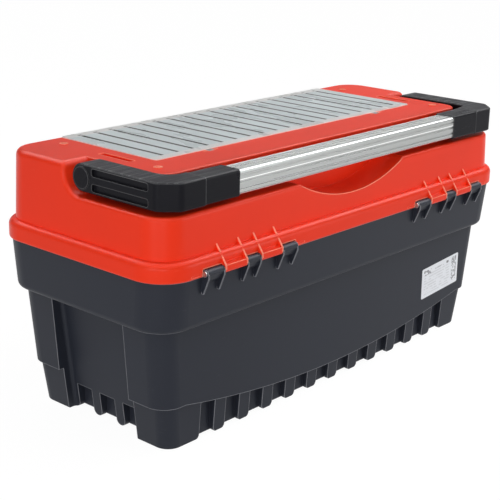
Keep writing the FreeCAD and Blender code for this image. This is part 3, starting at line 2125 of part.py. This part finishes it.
def make_latch(label, side):
    """A latch that hangs from its pin and hooks under the tub's catch."""
    middle = s.latch_column * side
    start = middle - s.latch_half_width
    width = s.latch_half_width * 2
    low = s.latch_height - s.latch_drop
    outer = s.latch_front + s.latch_barrel
    inner = outer - s.latch_plate
    reach = s.rim_half_width + s.catch_reach - s.catch_tall / 4
    plate = across_x(
        f"latch_plate_{label}",
        start,
        width,
        [
            (-outer, s.latch_height),
            (-inner, s.latch_height),
            (-inner, s.latch_hook_height + s.latch_hook_tall),
            (-reach, s.latch_hook_height + s.latch_hook_tall),
            (-reach, s.latch_hook_height),
            (-inner, s.latch_hook_height - s.latch_hook_tall),
            (-inner, low),
            (-outer, low),
        ],
    )
    barrel = rod_x(
        f"latch_barrel_{label}", s.latch_barrel, start, width, -s.latch_front, s.latch_height
    )
    bore = rod_x(
        f"latch_hole_{label}",
        s.latch_pin_radius + s.running_gap,
        start - s.overrun,
        width + s.overrun * 2,
        -s.latch_front,
        s.latch_height,
    )
    made = cut(f"latch_shape_{label}", fuse(f"latch_solid_{label}", [plate, barrel]), bore)
    node(made, f"latch_{label}")
    reach_x = s.latch_half_width + s.latch_ear
    pin = rod_x(
        f"latch_pin_rod_{label}",
        s.latch_pin_radius,
        middle - reach_x,
        reach_x * 2,
        -s.latch_front,
        s.latch_height,
    )
    node(pin, f"latch_pin_{label}")


def check_and_export():
    """Refuses to write anything unless every feature and every solid is sound."""
    DOC.recompute()
    failed = [
        item.Name for item in DOC.Objects if "Invalid" in item.State or "Error" in item.State
    ]
    if failed:
        raise RuntimeError("these failed: " + ", ".join(failed))
    unsound = [
        item.Label
        for item in NODES
        if item.Shape.isNull() or not item.Shape.isValid() or not item.Shape.Solids
    ]
    if unsound:
        raise RuntimeError("these are not sound solids: " + ", ".join(unsound))
    os.makedirs("parts", exist_ok=True)
    for item in NODES:
        item.Shape.exportStep(os.path.join("parts", f"{item.Label}.step"))
        box = item.Shape.BoundBox
        print(
            item.Label,
            len(item.Shape.Solids),
            [round(v, 1) for v in (box.XMin, box.XMax, box.YMin, box.YMax, box.ZMin, box.ZMax)],
        )


make_tub()
make_lid()
make_hinge_pins()
for label, side in SIDES:
    make_arm(label, side)
    make_socket(label, side)
    make_pivot(label, side)
    make_tub_bracket(label, side)
    make_lift_plate(label, side)
    make_latch(label, side)
make_grip()
make_bin()
make_cover()
make_frame_screws()
make_tray_arms()
make_upper_tray()
make_lower_tray()
make_rivets()
check_and_export()
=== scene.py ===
"""Finishes, label, light and camera of the cantilever tool box."""

import json
import math

import bpy
from mathutils import Matrix, Vector
from mathutils.bvhtree import BVHTree


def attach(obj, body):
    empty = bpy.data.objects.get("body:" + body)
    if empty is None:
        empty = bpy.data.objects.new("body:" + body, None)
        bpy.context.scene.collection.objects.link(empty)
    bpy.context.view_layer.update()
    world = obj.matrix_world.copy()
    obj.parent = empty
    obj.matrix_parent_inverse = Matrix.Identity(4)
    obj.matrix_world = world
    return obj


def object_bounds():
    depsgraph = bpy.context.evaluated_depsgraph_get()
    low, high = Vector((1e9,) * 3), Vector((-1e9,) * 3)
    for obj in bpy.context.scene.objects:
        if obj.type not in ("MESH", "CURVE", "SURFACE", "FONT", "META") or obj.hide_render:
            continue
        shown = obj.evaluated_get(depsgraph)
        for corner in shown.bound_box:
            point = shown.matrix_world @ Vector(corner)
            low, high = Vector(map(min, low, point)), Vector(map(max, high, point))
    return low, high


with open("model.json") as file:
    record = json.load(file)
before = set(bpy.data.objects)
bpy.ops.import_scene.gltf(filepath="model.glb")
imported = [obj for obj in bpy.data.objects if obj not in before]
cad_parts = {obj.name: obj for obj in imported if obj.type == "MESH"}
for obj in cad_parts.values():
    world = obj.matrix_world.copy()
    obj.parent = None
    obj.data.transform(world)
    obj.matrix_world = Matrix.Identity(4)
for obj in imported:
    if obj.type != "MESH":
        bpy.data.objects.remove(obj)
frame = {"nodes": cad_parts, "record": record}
cad_low, cad_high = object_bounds()
bpy.ops.object.select_all(action="DESELECT")

MM = 0.001

# The camera, fitted to the box's edges in the photograph
PHOTO_WIDTH = 500
FOCAL_PIXELS = 1232.4
SENSOR = 36.0
CAMERA_AZIMUTH = math.radians(131.4)
CAMERA_HEIGHT = math.radians(17.6)
CAMERA_ROLL = math.radians(1.3)
CAMERA_DISTANCE = 1755.6 * MM
AIM_RIGHT = -27.9 * MM
AIM_UP = 148.6 * MM

# The tub: where its band rolls under, and half the width of the painted highlight line there
BAND_FOOT = 158.9 * MM
BAND_HIGHLIGHT_HALF = 1.6 * MM

# The folded handle: where its top faces begin, and how far below them its edges get the full
# painted highlight
HANDLE_TOP = 335.0 * MM
TOP_EDGE_HIGHLIGHT_DEPTH = 3.0 * MM

# The grip: how deep the painted highlight on its top goes, where its painted highlight lines
# run as shares of its height, and half the width of one
GRIP_TOP_HIGHLIGHT_DEPTH = 1.0 * MM
GRIP_HIGHLIGHT_LINES = (0.03, 0.61)
GRIP_HIGHLIGHT_HALF = 0.6 * MM

# The clear cover: its top face, how far below it still counts as top, where the hinge
# tabs begin, and the grooves across it
COVER_TOP = 334.0 * MM
COVER_SKIN = 1.2 * MM
COVER_BACK = 40.1 * MM
GROOVE_PITCH = 26.15 * MM
GROOVE_FRONT = -117.0 * MM
GROOVE_BACK = 28.0 * MM

# Distances from a groove's middle line at which the painted shade in it, the painted highlight
# on its lip and the painted shade of the notch in front of it begin and are full, and where
# the row of notches lies
GROOVE_SIDES = (3.1 * MM, 2.1 * MM)
LIP_SIDES = (4.6 * MM, 3.0 * MM)
NOTCH_SIDES = (4.0 * MM, 2.4 * MM)
NOTCH_MIDDLE = GROOVE_FRONT - 4.5 * MM
NOTCH_HALF = 2.2 * MM

# The label on the tub's hinge side
LABEL_WIDTH = 93 * MM
LABEL_HEIGHT = 47 * MM
LABEL_MIDDLE_X = -241 * MM
LABEL_MIDDLE_Z = 91.8 * MM
LABEL_TURN = math.radians(4.5)
LABEL_CORNER = 2.5 * MM
LABEL_THICK = 0.2 * MM
LABEL_LIFT = 0.05 * MM
LABEL_ROWS = 11.0

# Colours, as linear red, green and blue
RED = (0.8, 0.034, 0.008)
# Painted highlight for the lid's edges, also the colour of its scuffs
RED_HIGHLIGHT_AND_WEAR = (1.0, 0.36, 0.24)
ANTHRACITE = (0.018, 0.0205, 0.029)
# Painted highlight for the tub's edges and band line, also the colour of its scuffs
ANTHRACITE_HIGHLIGHT_AND_WEAR = (0.27, 0.275, 0.3)
BLACK = (0.008, 0.008, 0.0108)
# Painted highlight for the handle's edges, also the colour of its scuffs and scratches
BLACK_HIGHLIGHT_AND_WEAR = (0.2, 0.203, 0.21)
TRAY_GREY = (0.05, 0.053, 0.06)
# Painted highlight for the trays' edges, also the colour of their scuffs
TRAY_HIGHLIGHT_AND_WEAR = (0.16, 0.165, 0.175)
ALUMINIUM = (0.4, 0.41, 0.405)
# Painted highlight for the grip's top and lines
ALUMINIUM_HIGHLIGHT = (0.92, 0.93, 0.92)
ZINC = (0.62, 0.63, 0.64)
CLEAR = (0.84, 0.92, 0.94)
# Painted highlight for the cover's edges and groove lips, also its pale border
CLEAR_HIGHLIGHT_AND_BORDER = (0.96, 0.93, 0.91)
# Painted shade for the cover's grooves and notches
GROOVE_SHADE = (0.015, 0.02, 0.02)
PAPER = (0.8, 0.82, 0.86)
PRINT = (0.12, 0.12, 0.13)
FLOOR_GREY = (0.8, 0.8, 0.8)
WHITE = (1, 1, 1)

# How far the bevel shader softens the sharp edges of each material
PLASTIC_ROUNDING = 0.8 * MM
ALUMINIUM_ROUNDING = 0.4 * MM
STEEL_ROUNDING = 0.3 * MM
COVER_ROUNDING = 0.4 * MM

# The depth of each fine texture, and how near an edge the painted edge highlight reaches
SPARK_GRAIN = 0.03 * MM
HANDLE_GRAIN = 0.05 * MM
BRUSHED_GRAIN = 0.008 * MM
STEEL_GRAIN = 0.01 * MM
PAPER_GRAIN = 0.01 * MM
COVER_WAVES = 0.1 * MM
EDGE_HIGHLIGHT_REACH = 1.2 * MM
LID_EDGE_HIGHLIGHT_REACH = 1.9 * MM
COVER_EDGE_HIGHLIGHT_REACH = 1.0 * MM

# How strongly wear, painted highlights, painted sheen, the cover's pale border and painted
# shade in its grooves and notches show over the colour under them, up to 1
SCUFFS = 0.05
SCRATCH_AND_SHEEN_SHARE = 0.5
GRIP_TOP_HIGHLIGHT = 0.3
GRIP_HIGHLIGHT_SHARE = 0.8
LIP_HIGHLIGHT = 0.5
BORDER_PALE = 0.7
GROOVE_SHADE_SHARE = 0.95
NOTCH_SHADE_SHARE = 0.7

# Rays sent out at a point by the rounding and by the search for edges
ROUNDING_RAYS = 6
EDGE_RAYS = 8

# The floor: its width in metres, how strongly it glows, and how much of what is seen of
# it is that glow
FLOOR_WIDTH = 12
FLOOR_GLOW = 1.1
FLOOR_SHARE = 0.86

# The surroundings: the light they give, and what glossy faces mirror of them, going up
# from the horizon: white, then a dim sheen, then a bright ceiling
ROOM_LEVEL = 0.42
HORIZON_WHITE = 0.01
HORIZON_DARK = 0.07
SHEEN_LEVEL = 0.27
CEILING_FOOT = 0.5
CEILING_HEAD = 0.66
CEILING_GLOW = 8.0

# The soft lamps: name, place and width in metres, power in watts
SOFTBOXES = (
    ("high_softbox", (-1.5, 0.6, 1.5), 0.9, 11.0),
    ("side_softbox", (2.1, 0.6, 0.42), 0.9, 12.5),
    ("rear_softbox", (-1.3, 2.0, 0.42), 0.9, 12.5),
    ("corner_softbox", (1.9, 1.8, 0.32), 0.6, 10.0),
)


class Value:
    """One output of a node. Arithmetic on it adds Math nodes."""

    def __init__(self, nodes, socket):
        self.nodes = nodes
        self.socket = socket

    def __add__(self, other):
        return self.nodes.math("ADD", self, other)

    def __radd__(self, other):
        return self.nodes.math("ADD", other, self)

    def __sub__(self, other):
        return self.nodes.math("SUBTRACT", self, other)

    def __rsub__(self, other):
        return self.nodes.math("SUBTRACT", other, self)

    def __mul__(self, other):
        return self.nodes.math("MULTIPLY", self, other)

    def __rmul__(self, other):
        return self.nodes.math("MULTIPLY", other, self)

    def __truediv__(self, other):
        return self.nodes.math("DIVIDE", self, other)

    def __rtruediv__(self, other):
        return self.nodes.math("DIVIDE", other, self)

    def __gt__(self, other):
        return self.nodes.math("GREATER_THAN", self, other)

    def __lt__(self, other):
        return self.nodes.math("LESS_THAN", self, other)

    def size(self):
        """The value without its sign."""
        return self.nodes.math("ABSOLUTE", self)

    def swing(self, width):
        """A value from 0 to 1 made to lie around 0, width from its least to its most."""
        return (self - 0.5) * width

    def most(self, other):
        """The larger of two values."""
        return self.nodes.math("MAXIMUM", self, other)

    def remainder(self, step):
        """What is left over from whole steps."""
        return self.nodes.math("FLOORED_MODULO", self, step)


class Nodes:
    """A node tree, and ways to add to it."""

    def __init__(self, tree):
        self.tree = tree

    def feed(self, socket, value):
        """Gives a socket a number, a colour or another node's output."""
        if isinstance(value, Value):
            self.tree.links.new(value.socket, socket)
        elif isinstance(value, tuple) and len(value) == 3 and socket.type == "RGBA":
            socket.default_value = (*value, 1.0)
        else:
            socket.default_value = value

    def node(self, kind, settings=None, inputs=None, output=0):
        """Adds a node, sets it up, feeds its sockets and returns one of its outputs."""
        made = self.tree.nodes.new(kind)
        for name, value in (settings or {}).items():
            setattr(made, name, value)
        for name, value in (inputs or {}).items():
            self.feed(made.inputs[name], value)
        return Value(self, made.outputs[output])

    def math(self, operation, *values):
        """One Math node over numbers and values."""
        inputs = dict(enumerate(values))
        return self.node("ShaderNodeMath", {"operation": operation}, inputs)

    def axes(self, place):
        """The three coordinates of a place."""
        split = self.node("ShaderNodeSeparateXYZ", inputs={"Vector": place})
        outputs = split.socket.node.outputs
        return [Value(self, outputs[axis]) for axis in "XYZ"]

    def rays(self):
        """1 for what is seen straight or through glass, and 1 for what is mirrored."""
        path = self.node("ShaderNodeLightPath").socket.node.outputs
        straight = Value(self, path["Is Camera Ray"])
        through = Value(self, path["Is Transmission Ray"])
        return straight.most(through), Value(self, path["Is Glossy Ray"])


class Finish(Nodes):
    """One material: its shader and the nodes that vary it."""

    def __init__(self, name, **fixed):
        self.material = bpy.data.materials.new(name)
        self.material.use_nodes = True
        super().__init__(self.material.node_tree)
        self.shader = self.tree.nodes["Principled BSDF"]
        for socket, value in fixed.items():
            self.shader.inputs[socket.replace("_", " ")].default_value = value

    def place(self):
        """Where a point is on the piece, in metres."""
        return self.node("ShaderNodeTexCoord", output="Object")

    def noise(self, scale, stretch=(1.0, 1.0, 1.0), detail=2.0, roughness=0.5):
        """Smooth random variation, scale cells to the metre, drawn out by stretch."""
        where = self.node(
            "ShaderNodeMapping", inputs={"Vector": self.place(), "Scale": stretch}
        )
        return self.node(
            "ShaderNodeTexNoise",
            inputs={
                "Vector": where,
                "Scale": scale,
                "Detail": detail,
                "Roughness": roughness,
            },
        )

    def between(self, value, low, high):
        """0 at low, 1 at high and smooth between them."""
        return self.node(
            "ShaderNodeMapRange",
            {"interpolation_type": "SMOOTHSTEP"},
            {"Value": value, "From Min": low, "From Max": high},
        )

    def blend(self, share, first, second):
        """A colour between two others."""
        return self.node(
            "ShaderNodeMix",
            {"data_type": "RGBA"},
            {"Factor": share, 6: first, 7: second},
            output=2,
        )

    def round_edges(self, radius):
        """The surface's direction with its sharp edges softened."""
        return self.node(
            "ShaderNodeBevel", {"samples": ROUNDING_RAYS}, {"Radius": radius}, output="Normal"
        )

    def corner_share(self, reach):
        """How near a point is to an outer edge: 0 on a flat face, about half at an edge."""
        inward = {"inside": True, "only_local": True, "samples": EDGE_RAYS}
        open_share = self.node(
            "ShaderNodeAmbientOcclusion", inward, {"Distance": reach}, output="AO"
        )
        return 1 - open_share

    def bump(self, height, distance, normal=None):
        """The surface's direction over small hills of a height."""
        inputs = {"Height": height, "Distance": distance}
        if normal is not None:
            inputs["Normal"] = normal
        return self.node("ShaderNodeBump", inputs=inputs)

    def set(self, socket, value):
        """Feeds one of the shader's own sockets."""
        self.feed(self.shader.inputs[socket], value)


def shaded(colour, share):
    """A colour made darker or lighter."""
    return tuple(part * share for part in colour)


def moulded(
    name,
    colour,
    highlight_and_wear_colour,
    roughness,
    level=0.3,
    grain=SPARK_GRAIN,
    reach=EDGE_HIGHLIGHT_REACH,
    highlight_lines=(),
    top_height=None,
):
    """Injection-moulded plastic: fine spark grain, cloudy sheen, scuffs and a painted highlight
    on its edges.

    A painted highlight line runs round it at each height listed. Faces above the top height
    given get pale scratches, which are wear and also paint their sheen, and only the edges
    from a little below that height up get the full painted highlight.
    """
    finish = Finish(name, IOR=1.49, Specular_IOR_Level=level)
    _, _, up = finish.axes(finish.place())
    cloud = finish.noise(scale=7.0, detail=3.0)
    spark = finish.noise(scale=1500.0)
    rubbed = finish.noise(scale=60.0, stretch=(1.0, 1.0, 6.0), detail=4.0)
    scuffs = finish.between(rubbed, low=0.66, high=0.8)
    # Painted highlight along the outer edges
    edge_highlight = finish.between(finish.corner_share(reach), low=0.06, high=0.36)
    # Painted highlight lines round it at the heights listed
    for height in highlight_lines:
        highlight_line = finish.between((up - height).size(), low=BAND_HIGHLIGHT_HALF, high=0.0)
        edge_highlight = edge_highlight.most(highlight_line)
    base = finish.blend(cloud, shaded(colour, 0.92), shaded(colour, 1.08))
    base = finish.blend(scuffs * SCUFFS, base, highlight_and_wear_colour)
    if top_height is not None:
        streaks = finish.noise(scale=420.0, stretch=(0.04, 1.0, 1.0), detail=4.0)
        # Pale scratches on the top faces: wear, and also painted sheen on those faces
        scratches_and_sheen = finish.between(streaks, low=0.5, high=0.68) * (up > top_height)
        base = finish.blend(scratches_and_sheen * SCRATCH_AND_SHEEN_SHARE, base, highlight_and_wear_colour)
        # Edges near the top get the full painted highlight, lower edges half of it
        highlit_top_edges = up > top_height - TOP_EDGE_HIGHLIGHT_DEPTH
        edge_highlight = edge_highlight * (0.5 + highlit_top_edges * 0.5)
    patchy = 0.6 + cloud * 0.4
    finish.set("Base Color", finish.blend(edge_highlight * patchy, base, highlight_and_wear_colour))
    finish.set("Roughness", roughness + cloud.swing(0.1) + scuffs * 0.08)
    rounded = finish.round_edges(PLASTIC_ROUNDING)
    finish.set("Normal", finish.bump(spark, grain, normal=rounded))
    return finish.material


def brushed_aluminium(name):
    """An extrusion brushed along its length, with a painted highlight on top and painted
    highlight lines behind.
    """
    finish = Finish(name, Metallic=0.7)
    _, _, up = finish.axes(finish.place())
    streaks = finish.noise(scale=420.0, stretch=(0.01, 1.0, 1.0), detail=3.0, roughness=0.6)
    bands = finish.noise(scale=60.0, stretch=(0.02, 1.0, 1.0))
    heights = [corner[2] for corner in frame["nodes"]["grip_profile"].bound_box]
    low, high = min(heights), max(heights)
    # Painted highlight on the grip's top face and in lines round it
    painted_highlight = (up > high - GRIP_TOP_HIGHLIGHT_DEPTH) * GRIP_TOP_HIGHLIGHT
    for share in GRIP_HIGHLIGHT_LINES:
        middle = low + (high - low) * share
        painted_highlight = painted_highlight.most((up - middle).size() < GRIP_HIGHLIGHT_HALF)
    brushing = streaks * 0.6 + bands * 0.4
    base = finish.blend(brushing, shaded(ALUMINIUM, 0.86), ALUMINIUM)
    finish.set("Base Color", finish.blend(painted_highlight * GRIP_HIGHLIGHT_SHARE, base, ALUMINIUM_HIGHLIGHT))
    finish.set("Roughness", 0.3 + streaks.swing(0.16) + bands.swing(0.08))
    rounded = finish.round_edges(ALUMINIUM_ROUNDING)
    finish.set("Normal", finish.bump(streaks, BRUSHED_GRAIN, normal=rounded))
    return finish.material


def plated_steel(name):
    """Zinc-plated sheet and wire with a faint spangle."""
    finish = Finish(name, Metallic=1.0)
    spangle = finish.node(
        "ShaderNodeTexVoronoi", inputs={"Vector": finish.place(), "Scale": 260.0}
    )
    cloud = finish.noise(scale=30.0, detail=4.0)
    spark = finish.noise(scale=900.0)
    finish.set("Base Color", finish.blend(cloud, shaded(ZINC, 0.8), ZINC))
    finish.set("Roughness", 0.3 + spangle * 0.1 + cloud.swing(0.12))
    rounded = finish.round_edges(STEEL_ROUNDING)
    finish.set("Normal", finish.bump(spark, STEEL_GRAIN, normal=rounded))
    return finish.material


def clear_cover(name):
    """Clear styrene with a frosted underside: hazy, with painted shade in its grooves, painted
    highlights at its rims and groove lips, and a pale border.
    """
    finish = Finish(name, IOR=1.55, Specular_IOR_Level=0.25)
    along, across, up = finish.axes(finish.place())
    cloud = finish.noise(scale=26.0, stretch=(1.0, 0.4, 1.0), detail=3.0)
    half = GROOVE_PITCH / 2
    beside = ((along + half).remainder(GROOVE_PITCH) - half).size()
    top = up > COVER_TOP - COVER_SKIN
    ribbed = top * (across > GROOVE_FRONT) * (across < GROOVE_BACK)
    # Painted shade in the grooves, and a painted highlight on their lips
    groove_shade = finish.between(beside, *GROOVE_SIDES) * ribbed
    lip_highlight = finish.between(beside, *LIP_SIDES) * ribbed
    border = (1 - ribbed) * top
    # Painted shade in the notches in front of the grooves
    beyond = (NOTCH_MIDDLE - across).size() < NOTCH_HALF
    notch_shade = finish.between(beside, *NOTCH_SIDES) * beyond
    # Painted highlight along the outer edges
    edge_highlight = finish.between(finish.corner_share(COVER_EDGE_HIGHLIGHT_REACH), low=0.08, high=0.4)
    highlight_and_border = edge_highlight.most((lip_highlight * LIP_HIGHLIGHT).most(border * BORDER_PALE))
    painted_shade = (groove_shade * GROOVE_SHADE_SHARE).most(notch_shade * NOTCH_SHADE_SHARE)
    base = finish.blend(cloud, shaded(CLEAR, 0.86), CLEAR)
    base = finish.blend(highlight_and_border, base, CLEAR_HIGHLIGHT_AND_BORDER)
    finish.set("Base Color", finish.blend(painted_shade, base, GROOVE_SHADE))
    finish.set("Roughness", 0.22 + cloud * 0.12)
    hinge_tab = across > COVER_BACK
    finish.set("Alpha", 0.88 + cloud * 0.08 - hinge_tab * 0.55)
    rounded = finish.round_edges(COVER_ROUNDING)
    finish.set("Normal", finish.bump(cloud, COVER_WAVES, normal=rounded))
    return finish.material


FINISHES = {
    # The tub gets a painted highlight line where its band rolls under
    "black_plastic": moulded(
        "tub_polypropylene", ANTHRACITE, ANTHRACITE_HIGHLIGHT_AND_WEAR, 0.46, level=0.17, highlight_lines=(BAND_FOOT,)
    ),
    "red_plastic": moulded(
        "lid_polypropylene", RED, RED_HIGHLIGHT_AND_WEAR, 0.32, level=0.13, reach=LID_EDGE_HIGHLIGHT_REACH
    ),
    # The handle's tops get pale scratches that also paint their sheen, and their edges the full
    # painted highlight
    "handle_plastic": moulded(
        "handle_nylon", BLACK, BLACK_HIGHLIGHT_AND_WEAR, 0.28, level=0.07, grain=HANDLE_GRAIN, top_height=HANDLE_TOP
    ),
    "grey_plastic": moulded("tray_polypropylene", TRAY_GREY, TRAY_HIGHLIGHT_AND_WEAR, 0.45),
    "aluminium": brushed_aluminium("brushed_extrusion"),
    "clear_plastic": clear_cover("clear_styrene"),
    "zinc_steel": plated_steel("zinc_plated_steel"),
}

# The frame's screws are lacquered like the lid
LACQUERED = {"frame_screws": "red_plastic"}


def dress_nodes():
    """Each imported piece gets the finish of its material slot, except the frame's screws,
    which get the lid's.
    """
    for entry in frame["record"]["subparts"]:
        mesh = frame["nodes"][entry["node"]].data
        slot = LACQUERED.get(entry["node"], entry["material_slot"])
        mesh.materials.clear()
        mesh.materials.append(FINISHES[slot])


def paper(name):
    """A white label with faint rows of marks, too small to be words."""
    finish = Finish(name)
    along, _, up = finish.axes(finish.place())
    right = LABEL_MIDDLE_X - along
    high = up - LABEL_MIDDLE_Z
    cos, sin = math.cos(LABEL_TURN), math.sin(LABEL_TURN)
    across = (right * cos + high * sin) / LABEL_WIDTH + 0.5
    rise = (high * cos - right * sin) / LABEL_HEIGHT + 0.5

    def patch(left, edge, low, top):
        """1 in a rectangle given in shares of the label's width and height."""
        wide = (across > left) * (across < edge)
        return wide * (rise > low) * (rise < top)

    fibre = finish.noise(scale=900.0, detail=3.0)
    marks = finish.noise(scale=330.0, detail=1.0) > 0.5
    strokes = finish.noise(scale=140.0) > 0.46
    rows = ((rise * LABEL_ROWS).remainder(1.0) < 0.5) * strokes
    text = rows * patch(left=0.06, edge=0.76, low=0.1, top=0.78)
    heading = rows * patch(left=0.34, edge=0.6, low=0.78, top=0.9)
    corner_mark = marks * patch(left=0.05, edge=0.25, low=0.76, top=0.92)
    dot = patch(left=0.67, edge=0.73, low=0.82, top=0.9)
    strip = marks * patch(left=0.82, edge=0.95, low=0.12, top=0.93)
    ink = text * 0.2 + heading * 0.45 + corner_mark * 0.75 + dot * 0.9 + strip * 0.7
    sheet = finish.blend(fibre, shaded(PAPER, 0.96), PAPER)
    finish.set("Base Color", finish.blend(ink, sheet, PRINT))
    finish.set("Roughness", 0.5 + fibre.swing(0.1))
    finish.set("Normal", finish.bump(fibre, PAPER_GRAIN))
    return finish.material


def surface_of(node):
    """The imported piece's surface, for finding points on it."""
    mesh = frame["nodes"][node].data
    corners = [corner.co.copy() for corner in mesh.vertices]
    return BVHTree.FromPolygons(corners, [tuple(face.vertices) for face in mesh.polygons])


def make_label():
    """The label, bent to follow the tub's wall on the hinge side."""
    wall = surface_of("base_tub")
    bpy.ops.mesh.primitive_plane_add(
        size=1,
        location=(LABEL_MIDDLE_X, cad_high.y, LABEL_MIDDLE_Z),
        rotation=(-math.pi / 2, LABEL_TURN, 0),
    )
    label = bpy.context.object
    label.name = "label"
    label.scale = (LABEL_WIDTH, LABEL_HEIGHT, 1)
    bpy.ops.object.transform_apply(location=True, rotation=True, scale=True)
    bpy.ops.object.mode_set(mode="EDIT")
    bpy.ops.mesh.bevel(offset=LABEL_CORNER, segments=5, affect="VERTICES")
    bpy.ops.object.mode_set(mode="OBJECT")
    for corner in label.data.vertices:
        start = Vector((corner.co.x, cad_high.y, corner.co.z))
        hit = wall.ray_cast(start, Vector((0, -1, 0)))[0]
        corner.co.y = hit.y + LABEL_LIFT
    thick = label.modifiers.new("thickness", "SOLIDIFY")
    thick.thickness = LABEL_THICK
    thick.offset = 1
    bpy.ops.object.modifier_apply(modifier=thick.name)
    label.data.materials.append(paper("label_paper"))
    # No material slot of the record is paper
    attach(label, "base")


def make_floor():
    """A white floor that keeps the box's soft shadow."""
    bpy.ops.mesh.primitive_plane_add(size=FLOOR_WIDTH, location=(0, 0, 0))
    floor = bpy.context.object
    floor.name = "floor"
    material = bpy.data.materials.new("floor_white")
    material.use_nodes = True
    material.node_tree.nodes.clear()
    nodes = Nodes(material.node_tree)
    matt = nodes.node("ShaderNodeBsdfDiffuse", inputs={"Color": FLOOR_GREY})
    glow = nodes.node("ShaderNodeEmission", inputs={"Strength": FLOOR_GLOW})
    seen, mirrored = nodes.rays()
    share = seen.most(mirrored) * FLOOR_SHARE
    mix = nodes.node("ShaderNodeMixShader", inputs={0: share, 1: matt, 2: glow})
    out = nodes.tree.nodes.new("ShaderNodeOutputMaterial")
    nodes.feed(out.inputs["Surface"], mix)
    floor.data.materials.append(material)


def make_world():
    """Surroundings that light the box evenly, and look white down at the horizon."""
    world = bpy.data.worlds.new("studio")
    bpy.context.scene.world = world
    world.use_nodes = True
    nodes = Nodes(world.node_tree)
    direction = nodes.node("ShaderNodeTexCoord", output="Generated")
    _, _, up = nodes.axes(direction)
    sheen = nodes.node(
        "ShaderNodeMapRange",
        inputs={
            "Value": up,
            "From Min": HORIZON_DARK,
            "From Max": HORIZON_WHITE,
            "To Min": SHEEN_LEVEL,
        },
    )
    ceiling = nodes.node(
        "ShaderNodeMapRange",
        inputs={
            "Value": up,
            "From Min": CEILING_FOOT,
            "From Max": CEILING_HEAD,
            "To Max": CEILING_GLOW,
        },
    )
    seen, mirrored = nodes.rays()
    lighting = (1 - seen.most(mirrored)) * ROOM_LEVEL
    background = nodes.tree.nodes["Background"]
    nodes.feed(background.inputs["Color"], WHITE)
    strength = seen.most(mirrored * (sheen + ceiling)) + lighting
    nodes.feed(background.inputs["Strength"], strength)


def softbox(name, place, width, power):
    """A large square lamp aimed at the middle of the box."""
    data = bpy.data.lights.new(name, "AREA")
    data.size = width
    data.energy = power
    lamp = bpy.data.objects.new(name, data)
    bpy.context.scene.collection.objects.link(lamp)
    middle = (cad_low + cad_high) / 2
    lamp.location = place
    lamp.rotation_mode = "QUATERNION"
    lamp.rotation_quaternion = (middle - Vector(place)).to_track_quat("-Z", "Y")


def make_camera():
    """A long lens at the photograph's place, with its slight roll."""
    azimuth, height, roll = CAMERA_AZIMUTH, CAMERA_HEIGHT, CAMERA_ROLL
    back = Vector(
        (
            math.sin(azimuth) * math.cos(height),
            -math.cos(azimuth) * math.cos(height),
            math.sin(height),
        )
    )
    right = (-back).cross(Vector((0, 0, 1))).normalized()
    up = right.cross(-back)
    aim = right * AIM_RIGHT + up * AIM_UP
    data = bpy.data.cameras.new("camera")
    data.sensor_width = SENSOR
    data.lens = SENSOR * FOCAL_PIXELS / PHOTO_WIDTH
    camera = bpy.data.objects.new("camera", data)
    bpy.context.scene.collection.objects.link(camera)
    turned_right = right * math.cos(roll) + up * math.sin(roll)
    turned_up = up * math.cos(roll) - right * math.sin(roll)
    turn = Matrix((turned_right, turned_up, back)).transposed()
    camera.matrix_world = Matrix.Translation(aim + back * CAMERA_DISTANCE) @ turn.to_4x4()
    bpy.context.scene.camera = camera


dress_nodes()
make_label()
make_floor()
make_world()
for lamp in SOFTBOXES:
    softbox(*lamp)
make_camera()
bpy.context.scene.view_settings.view_transform = "Standard"
